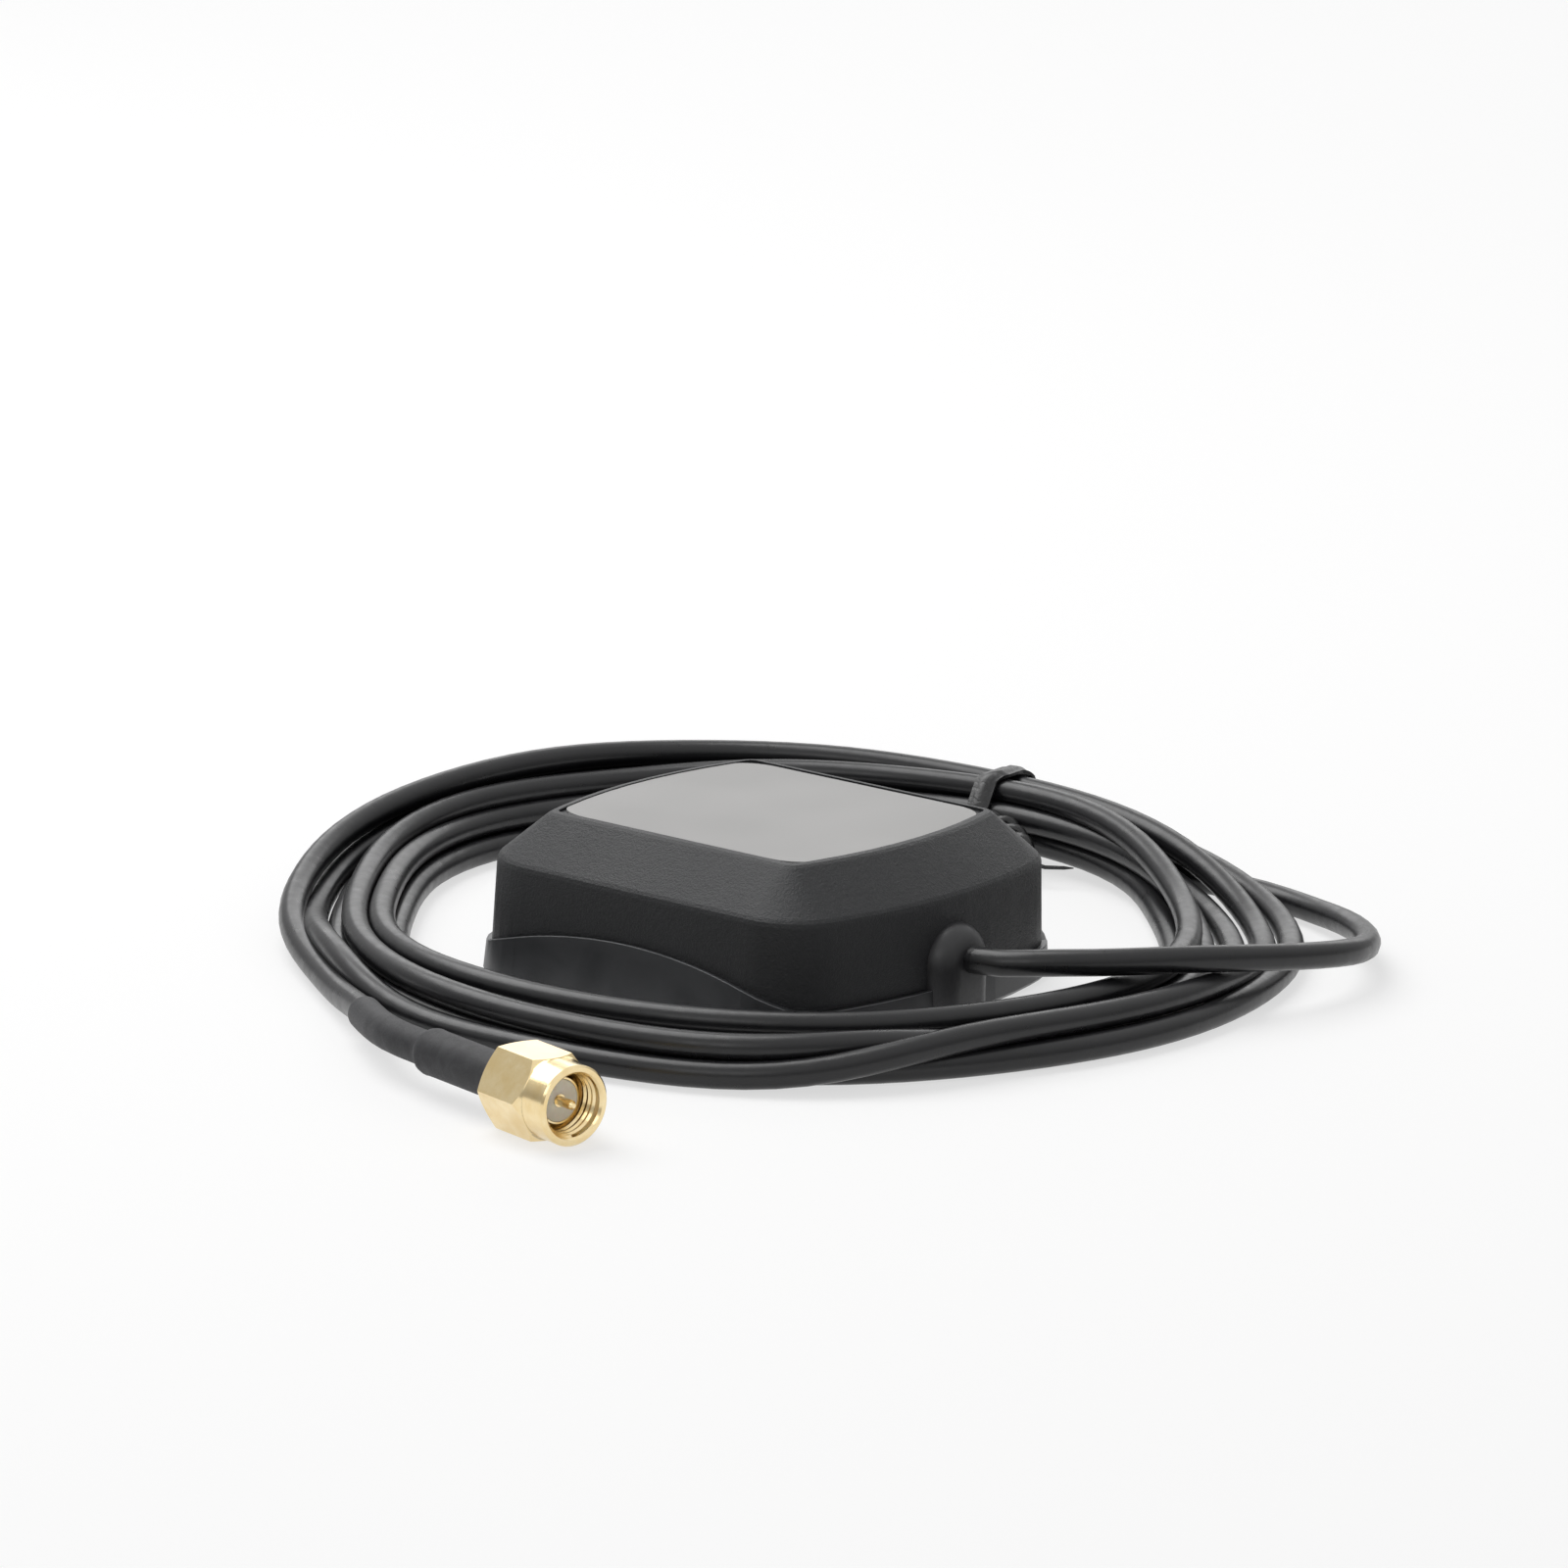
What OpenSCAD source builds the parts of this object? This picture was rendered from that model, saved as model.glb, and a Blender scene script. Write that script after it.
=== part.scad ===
// Magnetic puck antenna with two metres of thin coaxial cable, tied in a ring, and a screw-on plug.
// The origin is the middle of the housing's underside, +X points at the cable gland and +Z is up.

/* [Housing] */
// Room between the screws and the crown of each bowed end, at the ridge
end_room = 8.3; // [7.5:0.1:11]
// Room between the screws and each straight side, at the ridge
side_room = 6.8; // [6:0.1:9]
// Room between the feed pin's head and the ceiling
head_room = 2.1; // [1:0.1:4]
// Height of the bevels, from the ridge to the flat top
bevel_h = 4.7; // [3.5:0.1:5.5]
// How far each bevel leans inwards between the ridge and the flat top
bevel_run = 5.4; // [4:0.1:6.5]
// How far the crown of each end stands out from its corners
end_bow = 3.8; // [2:0.1:5]
// Corner radius in plan, at the ridge
corner_r = 7; // [6:0.5:9]
// Lean of the cover's walls, from the ridge down to the underside
wall_draft = 0.5; // [0.2:0.1:1]
// Wall thickness of both shells
wall = 1.8; // [1.4:0.1:2.2]
// Softness of the moulded edges
edge_soft = 0.45; // [0.2:0.05:0.8]

/* [Seam] */
// Height of the seam between cover and base at the ends and corners
seam_z = 3.4; // [3:0.1:4]
// Extra height of the seam in the middle of each straight side
arch_rise = 3.6; // [2:0.1:4.5]
// Length of each arch along its straight side
arch_l = 40; // [32:1:41]
// How far the base's skirt stands proud of the cover at the foot
foot_flare = 0.95; // [0.7:0.05:1.4]
// Height of the chamfer round the foot
foot_chamfer = 0.5; // [0.3:0.1:0.8]
// Thickness of the base's floor
floor_t = 1.6; // [1.2:0.1:2]
// Thickness of the skirt outside the gasket groove
skirt_t = 0.9; // [0.7:0.1:1.1]
// Thickness of the tongue that locates the cover
tongue_t = 1; // [0.8:0.1:1.4]
// Height of the tongue above the seam
tongue_rise = 1.6; // [1:0.1:2.2]
// Depth of the gasket groove
gasket_depth = 1.8; // [1:0.1:1.8]

/* [Label] */
// Width of the moulded rim round the label
label_rim = 0.7; // [0.6:0.1:2.5]
// Depth of the label's recess
label_depth = 0.3; // [0.2:0.05:0.4]
// Thickness of the label
label_t = 0.2; // [0.1:0.05:0.2]

/* [Screws and magnets] */
// How far the screw centres stand outside the edges of the patch
post_inset = 2.7; // [2.4:0.1:3.5]
// Screw diameter
screw_d = 2; // [1.8:0.1:2.2]
// Diameter of the countersunk screw head
screw_head_d = 3.8; // [3.4:0.1:4.2]
// Length of the screw
screw_l = 8; // [6:0.5:9]
// Diameter of the screw posts in the cover
post_d = 4.6; // [4.2:0.1:5]
// Height at which the posts stand on the base's bosses
post_foot_z = 3; // [2.6:0.1:3.4]
// Magnet diameter
magnet_d = 12; // [10:0.5:13]
// Magnet thickness
magnet_t = 2.3; // [1.8:0.1:2.5]
// Distance between the two magnets' centres
magnet_pitch = 21; // [19:0.5:22]

/* [Electronics] */
// How far the circuit board reaches past the edges of the patch
board_rim = 2.5; // [2:0.1:3]
// Thickness of the circuit board
pcb_t = 1; // [0.8:0.2:1.6]
// Side of the ceramic patch
patch_side = 25; // [22:0.5:25]
// Thickness of the ceramic patch
patch_t = 4; // [3:0.5:4]
// Side of the silver electrode on the patch
electrode_side = 21; // [18:0.5:22]
// Thickness of the adhesive pad under the patch
pad_t = 0.4; // [0.2:0.1:0.6]
// Distance of the feed pin from the middle of the patch
feed_offset = 2.4; // [1.5:0.1:4]
// Diameter of the feed pin
feed_d = 0.9; // [0.7:0.1:1.2]
// How far the shield can stands in from the edges of the board
can_inset = 6; // [5.5:0.1:8]
// Height of the shield can
can_h = 2.4; // [1.8:0.1:2.6]

/* [Gland and cable] */
// Outside diameter of the cable
cable_d = 2.8; // [2.5:0.1:3]
// Height of the cable's axis where it leaves the gland
cable_z = 6.2; // [5.8:0.1:6.4]
// Width of the gland's outer block
gland_w = 6.2; // [5.6:0.1:7]
// Height of the gland's outer block above the cable's axis
gland_head = 3.5; // [3:0.1:4.5]
// How far the gland stands out from the crown of the end
gland_reach = 3.1; // [2.5:0.1:3.5]
// Width of the gland's neck, in the slot of the shells
neck_w = 4.4; // [4:0.1:5]
// Inner radius of the ring of coiled cable
coil_in_r = 38; // [37:0.5:42]
// Outer radius of the ring of coiled cable
coil_out_r = 53.5; // [50:0.5:54]
// Layers of cable in the ring
coil_layers = 3; // [2:1:4]

/* [Plug] */
// Size across the flats of the coupling nut
nut_af = 8; // [7.9:0.05:8.2]
// Length of the coupling nut
nut_l = 9.8; // [9.5:0.1:10.5]
// Length of the round collar at the nut's mouth
collar_l = 3; // [2.5:0.1:3.5]
// Diameter of that collar
collar_d = 7.9; // [7.6:0.05:7.9]
// Bore inside the coupling thread, at the crests
thread_bore_d = 5.76; // [5.7:0.01:5.8]
// Depth of the mating face inside the mouth
face_depth = 2.3; // [2:0.1:2.8]
// Diameter of the outer contact
contact_d = 4.59; // [4.5:0.01:4.6]
// Diameter of the insulator
insulator_d = 4.1; // [4:0.01:4.12]
// Diameter of the centre pin
pin_d = 0.92; // [0.9:0.01:0.94]
// How far the pin stands out of the mating face
pin_reach = 2.2; // [1.9:0.1:2.3]
// Length of the plug from its mouth to the end of the crimp ferrule
plug_l = 24.5; // [23:0.5:26]
// Diameter of the crimp ferrule
ferrule_d = 3.96; // [3.8:0.02:4.2]
// Wall of the heat-shrink sleeve
sleeve_t = 0.3; // [0.2:0.05:0.4]

/* [Tie] */
// Thickness of the twist tie
tie_t = 0.6; // [0.4:0.1:0.8]
// Width of the twist tie, as an angle round the ring
tie_angle = 6; // [4:0.5:8]

/* [Hidden] */

// Clearances
seat_gap = 0.05;  // between faces that rest on each other
slip_gap = 0.1;   // between pieces that slide past each other
cable_gap = 0.03; // round the cable in its bores
over = 1;         // how far a cut runs past the surface it opens

// Heights and places inside the housing, from the cable and the patch outwards
braid_d = 1.9;
electrode_t = 0.1;
feed_head_t = 0.4;
pcb_z = cable_z + braid_d / 2 + seat_gap;
pcb_top = pcb_z + pcb_t;
patch_z = pcb_top + pad_t;
patch_top = patch_z + patch_t;
feed_seat = patch_top + electrode_t;
ceiling_z = feed_seat + feed_head_t + head_room;
body_h = ceiling_z + wall;
ridge_z = body_h - bevel_h;
pcb_side = patch_side + 2 * board_rim;
can_side = pcb_side - 2 * can_inset;
chip_x = -can_side / 4.5;
chip_y = can_side / 6;
screw_x = patch_side / 2 + post_inset;
gland_h = cable_z + gland_head;

// Plan of the housing, as an outline that grows outwards by d
end_steps = 4;
corner_steps = 6;
half_l = screw_x + end_room;
half_w = screw_x + side_room;
end_r = (half_w * half_w + end_bow * end_bow) / (2 * end_bow);
end_x = half_l - end_r;
least_corner_r = 0.8;
function plan_r(d) = max(corner_r + d, least_corner_r);
function plan_t(d) = asin((half_w + d - plan_r(d)) / (end_r + d - plan_r(d)));
function plan_x(d) = end_x + (end_r + d - plan_r(d)) * cos(plan_t(d));
function quarter(d) = concat(
    [for (i = [0:end_steps - 1])
        let (t = plan_t(d) * (i + 0.5) / end_steps)
        [end_x + (end_r + d) * cos(t), (end_r + d) * sin(t)]],
    [for (i = [0:corner_steps])
        let (t = plan_t(d) + (90 - plan_t(d)) * i / corner_steps)
        [plan_x(d) + plan_r(d) * cos(t), half_w + d - plan_r(d) + plan_r(d) * sin(t)]]
);
function backwards(list) = [for (i = [len(list) - 1:-1:0]) list[i]];
function outline(d) = concat(
    quarter(d),
    [for (p = backwards(quarter(d))) [-p[0], p[1]]],
    [for (p = quarter(d)) -p],
    [for (p = backwards(quarter(d))) [p[0], -p[1]]]
);

// Section of the housing as [height, outward offset] points
function draft_at(z) = wall_draft * (ridge_z - z) / ridge_z;
function toward(a, b, s) = a + s * (b - a) / norm(b - a);
function soft_edge(a, c, b) =
    let (p = toward(c, a, edge_soft), q = toward(c, b, edge_soft))
    [p, (p + 2 * c + q) / 4, q];
bevel_slope = bevel_h / bevel_run;
bevel_drop = wall * sqrt(1 + bevel_slope * bevel_slope);
cover_foot = [0, wall_draft];
cover_ridge = [ridge_z, 0];
cover_brim = [body_h, -bevel_run];
cover_top = [body_h, -bevel_run - 2];
cover_levels = concat(
    [cover_foot],
    soft_edge(cover_foot, cover_ridge, cover_brim),
    soft_edge(cover_ridge, cover_brim, cover_top)
);
cavity_levels = [
    [-over, -wall],
    [ridge_z + wall * bevel_slope - bevel_drop, -wall],
    [ceiling_z, -(ceiling_z - ridge_z + bevel_drop) / bevel_slope]
];
skirt_ledge = 0.12;
skirt_top = seam_z + arch_rise + 0.5;
skirt_levels = [
    [0, foot_flare - foot_chamfer],
    [foot_chamfer, foot_flare],
    [skirt_top, draft_at(skirt_top) + skirt_ledge]
];

// Arch of the seam
arch_r = (arch_l * arch_l / 4 + arch_rise * arch_rise) / (2 * arch_rise);
span = 4 * (half_l + half_w);

// Places inside the housing
tongue_out = wall + slip_gap;
tongue_in = tongue_out + tongue_t;
rib_x = pcb_side / 2 - 1.2;
rib_y = 9;
magnet_floor = magnet_t + 0.15;
neck_foot = 2.6;

// Places of the plug: its axis lies along the table, the nut on one flat
plug_turn = -13;
plug_mouth = [26.8, -62.9];
plug_axis = [cos(plug_turn), sin(plug_turn)];
function plug_at(s) = [plug_mouth[0] - s * plug_axis[0], plug_mouth[1] - s * plug_axis[1], nut_af / 2];
flange_z = -6;
flange_t = 1.2;
flange_d = 5.5;
gasket_t = 0.8;
root_flare = 0.2;
shank_d = 4.9;
ring_z = -8.05;
ring_t = 0.5;
ring_in_d = 4.3;
ring_out_d = 5.8;
stem_d = 2.5;
stem_end = -19;
tail_z = -13;
core_d = 1.5;
pin_root_d = 1.27;
pin_back = -9.9;

// Ring of coiled cable and the tie round it
coil_at = [-2.8, 7.4];
coil_foot = tie_t;
coil_h = coil_layers * cable_d;
tie_at = 102;

// Routes of the free cable, in millimetres
lead_route = [
    [half_l + gland_reach, 0, cable_z], [half_l + gland_reach + 1, 0, cable_z],
    [30.2, 0.9, 6.4], [33.2, 3.2, 6.6], [36.4, 6, 6.7],
    [39.2, 9.4, 6.7], [42, 13.8, 6.6], [44.4, 19, 6.2], [46.2, 24.6, 5.6], [47.2, 30.4, 4.9],
    [47.2, 35.8, 4.2], [45.6, 41.2, 3.4], [42.6, 46, 2.8], [38.6, 50.2, 2.3], [34.2, 53.4, 1.9],
    [29.8, 55.6, 1.6], [25.4, 57.2, 1.5], [20.8, 58.2, 1.5], [16, 58.6, 1.5], [11, 58.4, 1.5],
    [5, 57.4, 1.7]
];
tail_route = concat([plug_at(plug_l), plug_at(plug_l + 2.5)], [
    [-3.6, -55, 3.8], [-8.2, -51.6, 3.2], [-13.2, -47.6, 2.6], [-18, -44, 2.1], [-23, -40.2, 1.8],
    [-28, -36.4, 1.7]
]);
sleeve_rings = 5;
cord_sides = 8;

// A solid through the outlines at the given levels
module loft(levels, grow = 0) {
    n = len(outline(0));
    m = len(levels);
    points = [for (level = levels) for (p = outline(level[1] + grow)) [p[0], p[1], level[0]]];
    walls = [for (i = [0:m - 2]) for (j = [0:n - 1])
        [i * n + j, (i + 1) * n + j, (i + 1) * n + (j + 1) % n, i * n + (j + 1) % n]];
    polyhedron(points, concat([[for (j = [0:n - 1]) j]], walls, [[for (j = [n - 1:-1:0]) (m - 1) * n + j]]));
}

module plate(z0, z1, d) {
    translate([0, 0, z0]) linear_extrude(z1 - z0) polygon(outline(d));
}

// A wall that follows the plan, between two offsets
module fence(z0, z1, outer, inner) {
    translate([0, 0, z0]) linear_extrude(z1 - z0) difference() {
        polygon(outline(outer));
        polygon(outline(inner));
    }
}

// Everything below the seam, moved up by rise
module below_seam(rise = 0) {
    translate([-span / 2, -span / 2, -over]) cube([span, span, seam_z + rise + over]);
    intersection() {
        translate([0, 0, seam_z + arch_rise + rise - arch_r]) rotate([90, 0, 0])
            cylinder(h = span, r = arch_r, center = true, $fn = 96);
        translate([-arch_l / 2, -span / 2, 0]) cube([arch_l, span, seam_z + arch_rise + rise + over]);
    }
}

module at_corners(x, y) {
    for (sx = [-1, 1]) for (sy = [-1, 1]) translate([sx * x, sy * y, 0]) children();
}

module at_screws() {
    at_corners(screw_x, screw_x) children();
}

// Section of the gland across the cable: a flat foot and an arched head
module gland_section(w, head_z, foot_z) {
    translate([0, head_z - w / 2]) circle(d = w, $fn = 48);
    translate([-w / 2, foot_z]) square([w, head_z - w / 2 - foot_z]);
}

module along_cable(x0, x1) {
    translate([x0, 0, 0]) rotate([90, 0, 90]) linear_extrude(x1 - x0) children();
}

module neck(x0, x1, grow = 0) {
    along_cable(x0, x1) gland_section(neck_w + 2 * grow, cable_z + neck_w / 2 + grow, neck_foot - grow);
}

// Outside of a countersunk screw, point up, head flush below z = 0
module screw_form(grow = 0) {
    sink = 0.2;
    rim = 0.3;
    cone = (screw_head_d - screw_d) / 2;
    tip = screw_d / 2;
    rotate_extrude($fn = 32) polygon([
        [0, sink - grow], [screw_head_d / 2 + grow, sink - grow],
        [screw_head_d / 2 + grow, sink + rim], [screw_d / 2 + grow, sink + rim + cone],
        [screw_d / 2 + grow, sink + screw_l - tip], [0.2, sink + screw_l], [0, sink + screw_l]
    ]);
}

module base_shell() {
    color("#2b2b2d") difference() {
        union() {
            difference() {
                union() {
                    plate(0, foot_chamfer, foot_flare - foot_chamfer);
                    intersection() {
                        loft(skirt_levels);
                        below_seam();
                    }
                    intersection() {
                        fence(floor_t, skirt_top + tongue_rise, -tongue_out, -tongue_in);
                        below_seam(tongue_rise);
                    }
                }
                plate(floor_t, skirt_top + tongue_rise + over, -tongue_in);
                at_screws() translate([0, 0, post_foot_z])
                    cylinder(h = span, d = post_d + 2 * slip_gap, $fn = 32);
                difference() {
                    fence(0, skirt_top + over, -skirt_t, -tongue_out);
                    below_seam(-gasket_depth);
                }
            }
            at_screws() cylinder(h = post_foot_z, d = post_d, $fn = 32);
            at_corners(rib_x, rib_y) cylinder(h = pcb_z - seat_gap, d = 2.6, $fn = 24);
            for (s = [-1, 1]) translate([s * magnet_pitch / 2, 0, 0])
                cylinder(h = magnet_floor + 0.9, d = magnet_d + 2.4, $fn = 48);
        }
        neck(half_l - tongue_in - over, half_l + foot_flare + over, seat_gap);
        at_screws() {
            screw_form(seat_gap);
            translate([0, 0, -over]) cylinder(h = over + 0.3, d = screw_head_d + 2 * seat_gap, $fn = 32);
        }
        for (s = [-1, 1]) translate([s * magnet_pitch / 2, 0, -over])
            cylinder(h = magnet_floor + over, d = magnet_d + 2 * seat_gap, $fn = 48);
    }
}

module top_cover() {
    color("#333335") difference() {
        union() {
            difference() {
                loft(cover_levels);
                loft(cavity_levels);
            }
            intersection() {
                union() {
                    at_screws() translate([0, 0, post_foot_z + seat_gap])
                        cylinder(h = ceiling_z, d = post_d, $fn = 32);
                    at_corners(rib_x, rib_y) translate([0, 0, pcb_top + seat_gap])
                        cylinder(h = ceiling_z - pcb_top, d = 2, $fn = 24);
                }
                loft(cover_levels, -wall / 2);
            }
        }
        difference() {
            below_seam(seat_gap);
            at_screws() translate([0, 0, -over]) cylinder(h = span, d = post_d + slip_gap, $fn = 32);
        }
        at_screws() translate([0, 0, post_foot_z - over])
            cylinder(h = screw_l + over, d = screw_d + 2 * seat_gap, $fn = 32);
        neck(half_l - wall - over, half_l + wall_draft + over, seat_gap);
        plate(body_h - label_depth, body_h + over, -bevel_run - label_rim);
    }
}

module top_label() {
    foot = body_h - label_depth;
    color("#b4b3b2") plate(foot, foot + label_t, -bevel_run - label_rim - seat_gap);
}

module seal_gasket() {
    color("#1d1d1f") difference() {
        intersection() {
            fence(0, skirt_top, -skirt_t - seat_gap, -tongue_out + seat_gap);
            below_seam();
        }
        below_seam(-gasket_depth);
        neck(half_l - wall - 2 * over, half_l + over, seat_gap);
    }
}

module base_screws() {
    recess_w = 0.5;
    recess_l = 2.2;
    color("#9a9a98") at_screws() difference() {
        screw_form();
        for (turn = [0, 90]) rotate([0, 0, turn])
            translate([-recess_l / 2, -recess_w / 2, 0]) cube([recess_l, recess_w, 1]);
    }
}

module base_magnets() {
    color("#a9abad") for (s = [-1, 1]) translate([s * magnet_pitch / 2, 0, magnet_floor - magnet_t])
        cylinder(h = magnet_t, d = magnet_d, $fn = 48);
}

module circuit_board() {
    notch_w = post_d + 1.2;
    color("#1f5a35") translate([0, 0, pcb_z]) linear_extrude(pcb_t) difference() {
        square(pcb_side, center = true);
        at_screws() square(notch_w, center = true);
        translate([feed_offset, 0]) circle(d = feed_d + 2 * seat_gap, $fn = 24);
    }
}

module adhesive_pad() {
    color("#d8d4c6") translate([0, 0, pcb_top]) linear_extrude(pad_t) difference() {
        square(patch_side - 1, center = true);
        translate([feed_offset, 0]) circle(d = 2 * feed_d, $fn = 24);
    }
}

module patch_ceramic() {
    color("#cdbf9f") difference() {
        translate([-patch_side / 2, -patch_side / 2, patch_z]) cube([patch_side, patch_side, patch_t]);
        translate([feed_offset, 0, patch_z - over])
            cylinder(h = patch_t + 2 * over, d = feed_d + 2 * seat_gap, $fn = 24);
    }
}

module patch_electrode() {
    trim = 2;
    h = electrode_side / 2;
    color("#c9c8c4") translate([0, 0, patch_top]) linear_extrude(electrode_t) difference() {
        polygon([[-h, -h], [h - trim, -h], [h, trim - h], [h, h], [trim - h, h], [-h, h - trim]]);
        translate([feed_offset, 0]) circle(d = feed_d + 2 * seat_gap, $fn = 24);
    }
}

module feed_pin() {
    foot_z = pcb_z - feed_head_t;
    color("#b9b7b0") translate([feed_offset, 0, 0]) {
        translate([0, 0, feed_seat]) cylinder(h = feed_head_t, d = 2 * feed_d, $fn = 32);
        translate([0, 0, foot_z]) cylinder(h = feed_seat - foot_z, d = feed_d, $fn = 24);
    }
}

module shield_can() {
    can_t = 0.2;
    color("#bfc0bf") difference() {
        translate([-can_side / 2, -can_side / 2, pcb_z - can_h]) cube([can_side, can_side, can_h]);
        translate([can_t - can_side / 2, can_t - can_side / 2, pcb_z - can_h + can_t])
            cube([can_side - 2 * can_t, can_side - 2 * can_t, can_h]);
    }
}

module chip(x, y, size) {
    translate([x - size[0] / 2, y - size[1] / 2, pcb_z - size[2]]) cube(size);
}

module amplifier_chip() {
    color("#202022") chip(chip_x, chip_y, [2, 2, 0.8]);
}

module saw_filter() {
    color("#c8b98e") chip(chip_x, -chip_y, [3, 3, 1.1]);
}

// One slice of the block outside the housing, drawn in by an inset
module block(x0, x1, inset) {
    foot = 0.7;
    along_cable(x0, x1) gland_section(gland_w - 2 * inset, gland_h - inset, foot + inset);
}

module cable_gland() {
    round_by = 1;
    front = half_l + gland_reach;
    flange_w = neck_w + 2;
    flange_x = half_l - tongue_in - 3 * seat_gap;
    color("#262628") difference() {
        union() {
            difference() {
                hull() {
                    block(half_l - wall, front - round_by, 0);
                    block(front - round_by, front - 0.4 * round_by, 0.2 * round_by);
                    block(front - 0.2 * round_by, front, 0.7 * round_by);
                }
                loft(cover_levels, seat_gap);
                loft(skirt_levels, seat_gap);
            }
            neck(flange_x - over, half_l + over);
            along_cable(flange_x - 1.2, flange_x)
                gland_section(flange_w, cable_z + flange_w / 2, floor_t + seat_gap);
        }
        along_cable(0, span) translate([0, cable_z]) circle(d = cable_d + 2 * cable_gap, $fn = 32);
    }
}

// A round piece about a line along X at the cable's height; profile points are [radius, x]
module on_cable_axis() {
    translate([0, 0, cable_z]) rotate([0, 90, 0]) children();
}

module cable_board_end() {
    jacket_x = pcb_side / 2 + 1.4;
    braid_x = jacket_x - 2.8;
    core_x = braid_x - 1.4;
    tip_x = core_x - 1.4;
    wire_d = 0.5;
    color("#222224") {
        on_cable_axis() rotate_extrude($fn = 32) polygon([
            [0, tip_x], [wire_d / 2, tip_x], [wire_d / 2, core_x], [core_d / 2, core_x],
            [core_d / 2, braid_x], [braid_d / 2, braid_x], [braid_d / 2, jacket_x],
            [cable_d / 2, jacket_x], [cable_d / 2, half_l + gland_reach], [0, half_l + gland_reach]
        ]);
        for (solder = [[tip_x + 0.6, 0.5], [pcb_side / 2 - 0.7, 0.65]])
            translate([solder[0], 0, cable_z]) cylinder(h = pcb_z - cable_z, r = solder[1], $fn = 24);
    }
}

// Sweep of a round section along a route; every ring stands square to the route
function unit(v) = v / norm(v);
function heading(route, i) = unit(route[min(i + 1, len(route) - 1)] - route[max(i - 1, 0)]);
function ring(route, i, r) =
    let (t = heading(route, i), side = unit(cross(t, [0, 0, 1])), up = cross(side, t))
    [for (k = [0:cord_sides - 1])
        let (a = 360 * (k + 0.5) / cord_sides) route[i] + r * (cos(a) * side + sin(a) * up)];

module sweep(route, r) {
    n = cord_sides;
    m = len(route);
    points = [for (i = [0:m - 1]) each ring(route, i, r)];
    walls = [for (i = [0:m - 2]) for (j = [0:n - 1])
        [i * n + j, i * n + (j + 1) % n, (i + 1) * n + (j + 1) % n, (i + 1) * n + j]];
    polyhedron(points, concat([[for (j = [n - 1:-1:0]) j]], walls, [[for (j = [0:n - 1]) (m - 1) * n + j]]));
}

module cable_lead() {
    color("#1e1e20") sweep(lead_route, cable_d / 2);
}

module cable_tail() {
    color("#1e1e20") sweep(tail_route, cable_d / 2);
}

module cable_coil() {
    color("#1e1e20") translate([coil_at[0], coil_at[1], coil_foot]) rotate_extrude($fn = 96)
        coil_section(cable_d / 2);
}

// Section of the ring with its edges rounded to the cable's radius
module coil_section(r) {
    ring_w = coil_out_r - coil_in_r;
    translate([coil_in_r + r, 0]) square([ring_w - 2 * r, coil_h]);
    translate([coil_in_r, r]) square([ring_w, coil_h - 2 * r]);
    for (x = [coil_in_r + r, coil_out_r - r]) for (y = [r, coil_h - r])
        translate([x, y]) circle(r = r, $fn = 32);
}

module twist_tie() {
    ring_w = coil_out_r - coil_in_r;
    tail_l = 7;
    tail_d = 1.4;
    color("#1a1a1c") translate([coil_at[0], coil_at[1], 0]) rotate([0, 0, tie_at]) {
        rotate([0, 0, -tie_angle / 2]) rotate_extrude(angle = tie_angle, $fn = 96) difference() {
            translate([coil_in_r - tie_t, 0]) square([ring_w + 2 * tie_t, coil_h + 2 * tie_t]);
            translate([coil_in_r, tie_t]) square([ring_w, coil_h]);
        }
        translate([coil_in_r - tie_t / 2 - tail_l, 0, tie_t + cable_d]) rotate([0, 90, 0])
            cylinder(h = tail_l, d = tail_d, $fn = 24);
    }
}

// Puts a piece on the plug's axis: its z = 0 is the mouth and it runs back along -z
module on_plug() {
    translate(plug_at(0)) rotate([0, 90, plug_turn]) children();
}

module heat_shrink_sleeve() {
    front = -nut_l - 3 * slip_gap;
    step = 1.4;
    wide = ferrule_d / 2 + cable_gap;
    slim = cable_d / 2 + cable_gap;
    color("#3a3a3c") {
        on_plug() rotate_extrude($fn = 40) polygon([
            [wide, front], [wide + sleeve_t, front], [wide + sleeve_t, -plug_l],
            [slim + sleeve_t, -plug_l - step], [slim + sleeve_t, -plug_l - 2 * step],
            [slim, -plug_l - 2 * step], [slim, -plug_l - step / 4], [wide, -plug_l - step / 4]
        ]);
        difference() {
            sweep([for (i = [1:sleeve_rings - 1]) tail_route[i]], slim + sleeve_t);
            sweep(tail_route, slim);
        }
    }
}

module crimp_ferrule() {
    color("#c9ae78") on_plug() translate([0, 0, -plug_l]) difference() {
        cylinder(h = plug_l + tail_z - seat_gap, d = ferrule_d, $fn = 40);
        translate([0, 0, -over]) cylinder(h = plug_l + over, d = cable_d + 2 * cable_gap, $fn = 40);
    }
}

module cable_plug_end() {
    jacket_z = -20;
    sheath_d = cable_d - 2 * cable_gap;
    color("#222224") on_plug() {
        translate([0, 0, -plug_l]) cylinder(h = plug_l + jacket_z, d = cable_d, $fn = 32);
        difference() {
            translate([0, 0, jacket_z]) cylinder(h = tail_z - jacket_z - seat_gap, d = sheath_d, $fn = 32);
            translate([0, 0, stem_end - slip_gap]) cylinder(h = plug_l, d = stem_d + 2 * cable_gap, $fn = 32);
        }
        translate([0, 0, jacket_z]) cylinder(h = pin_back - slip_gap - jacket_z, d = core_d, $fn = 24);
    }
}

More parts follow.
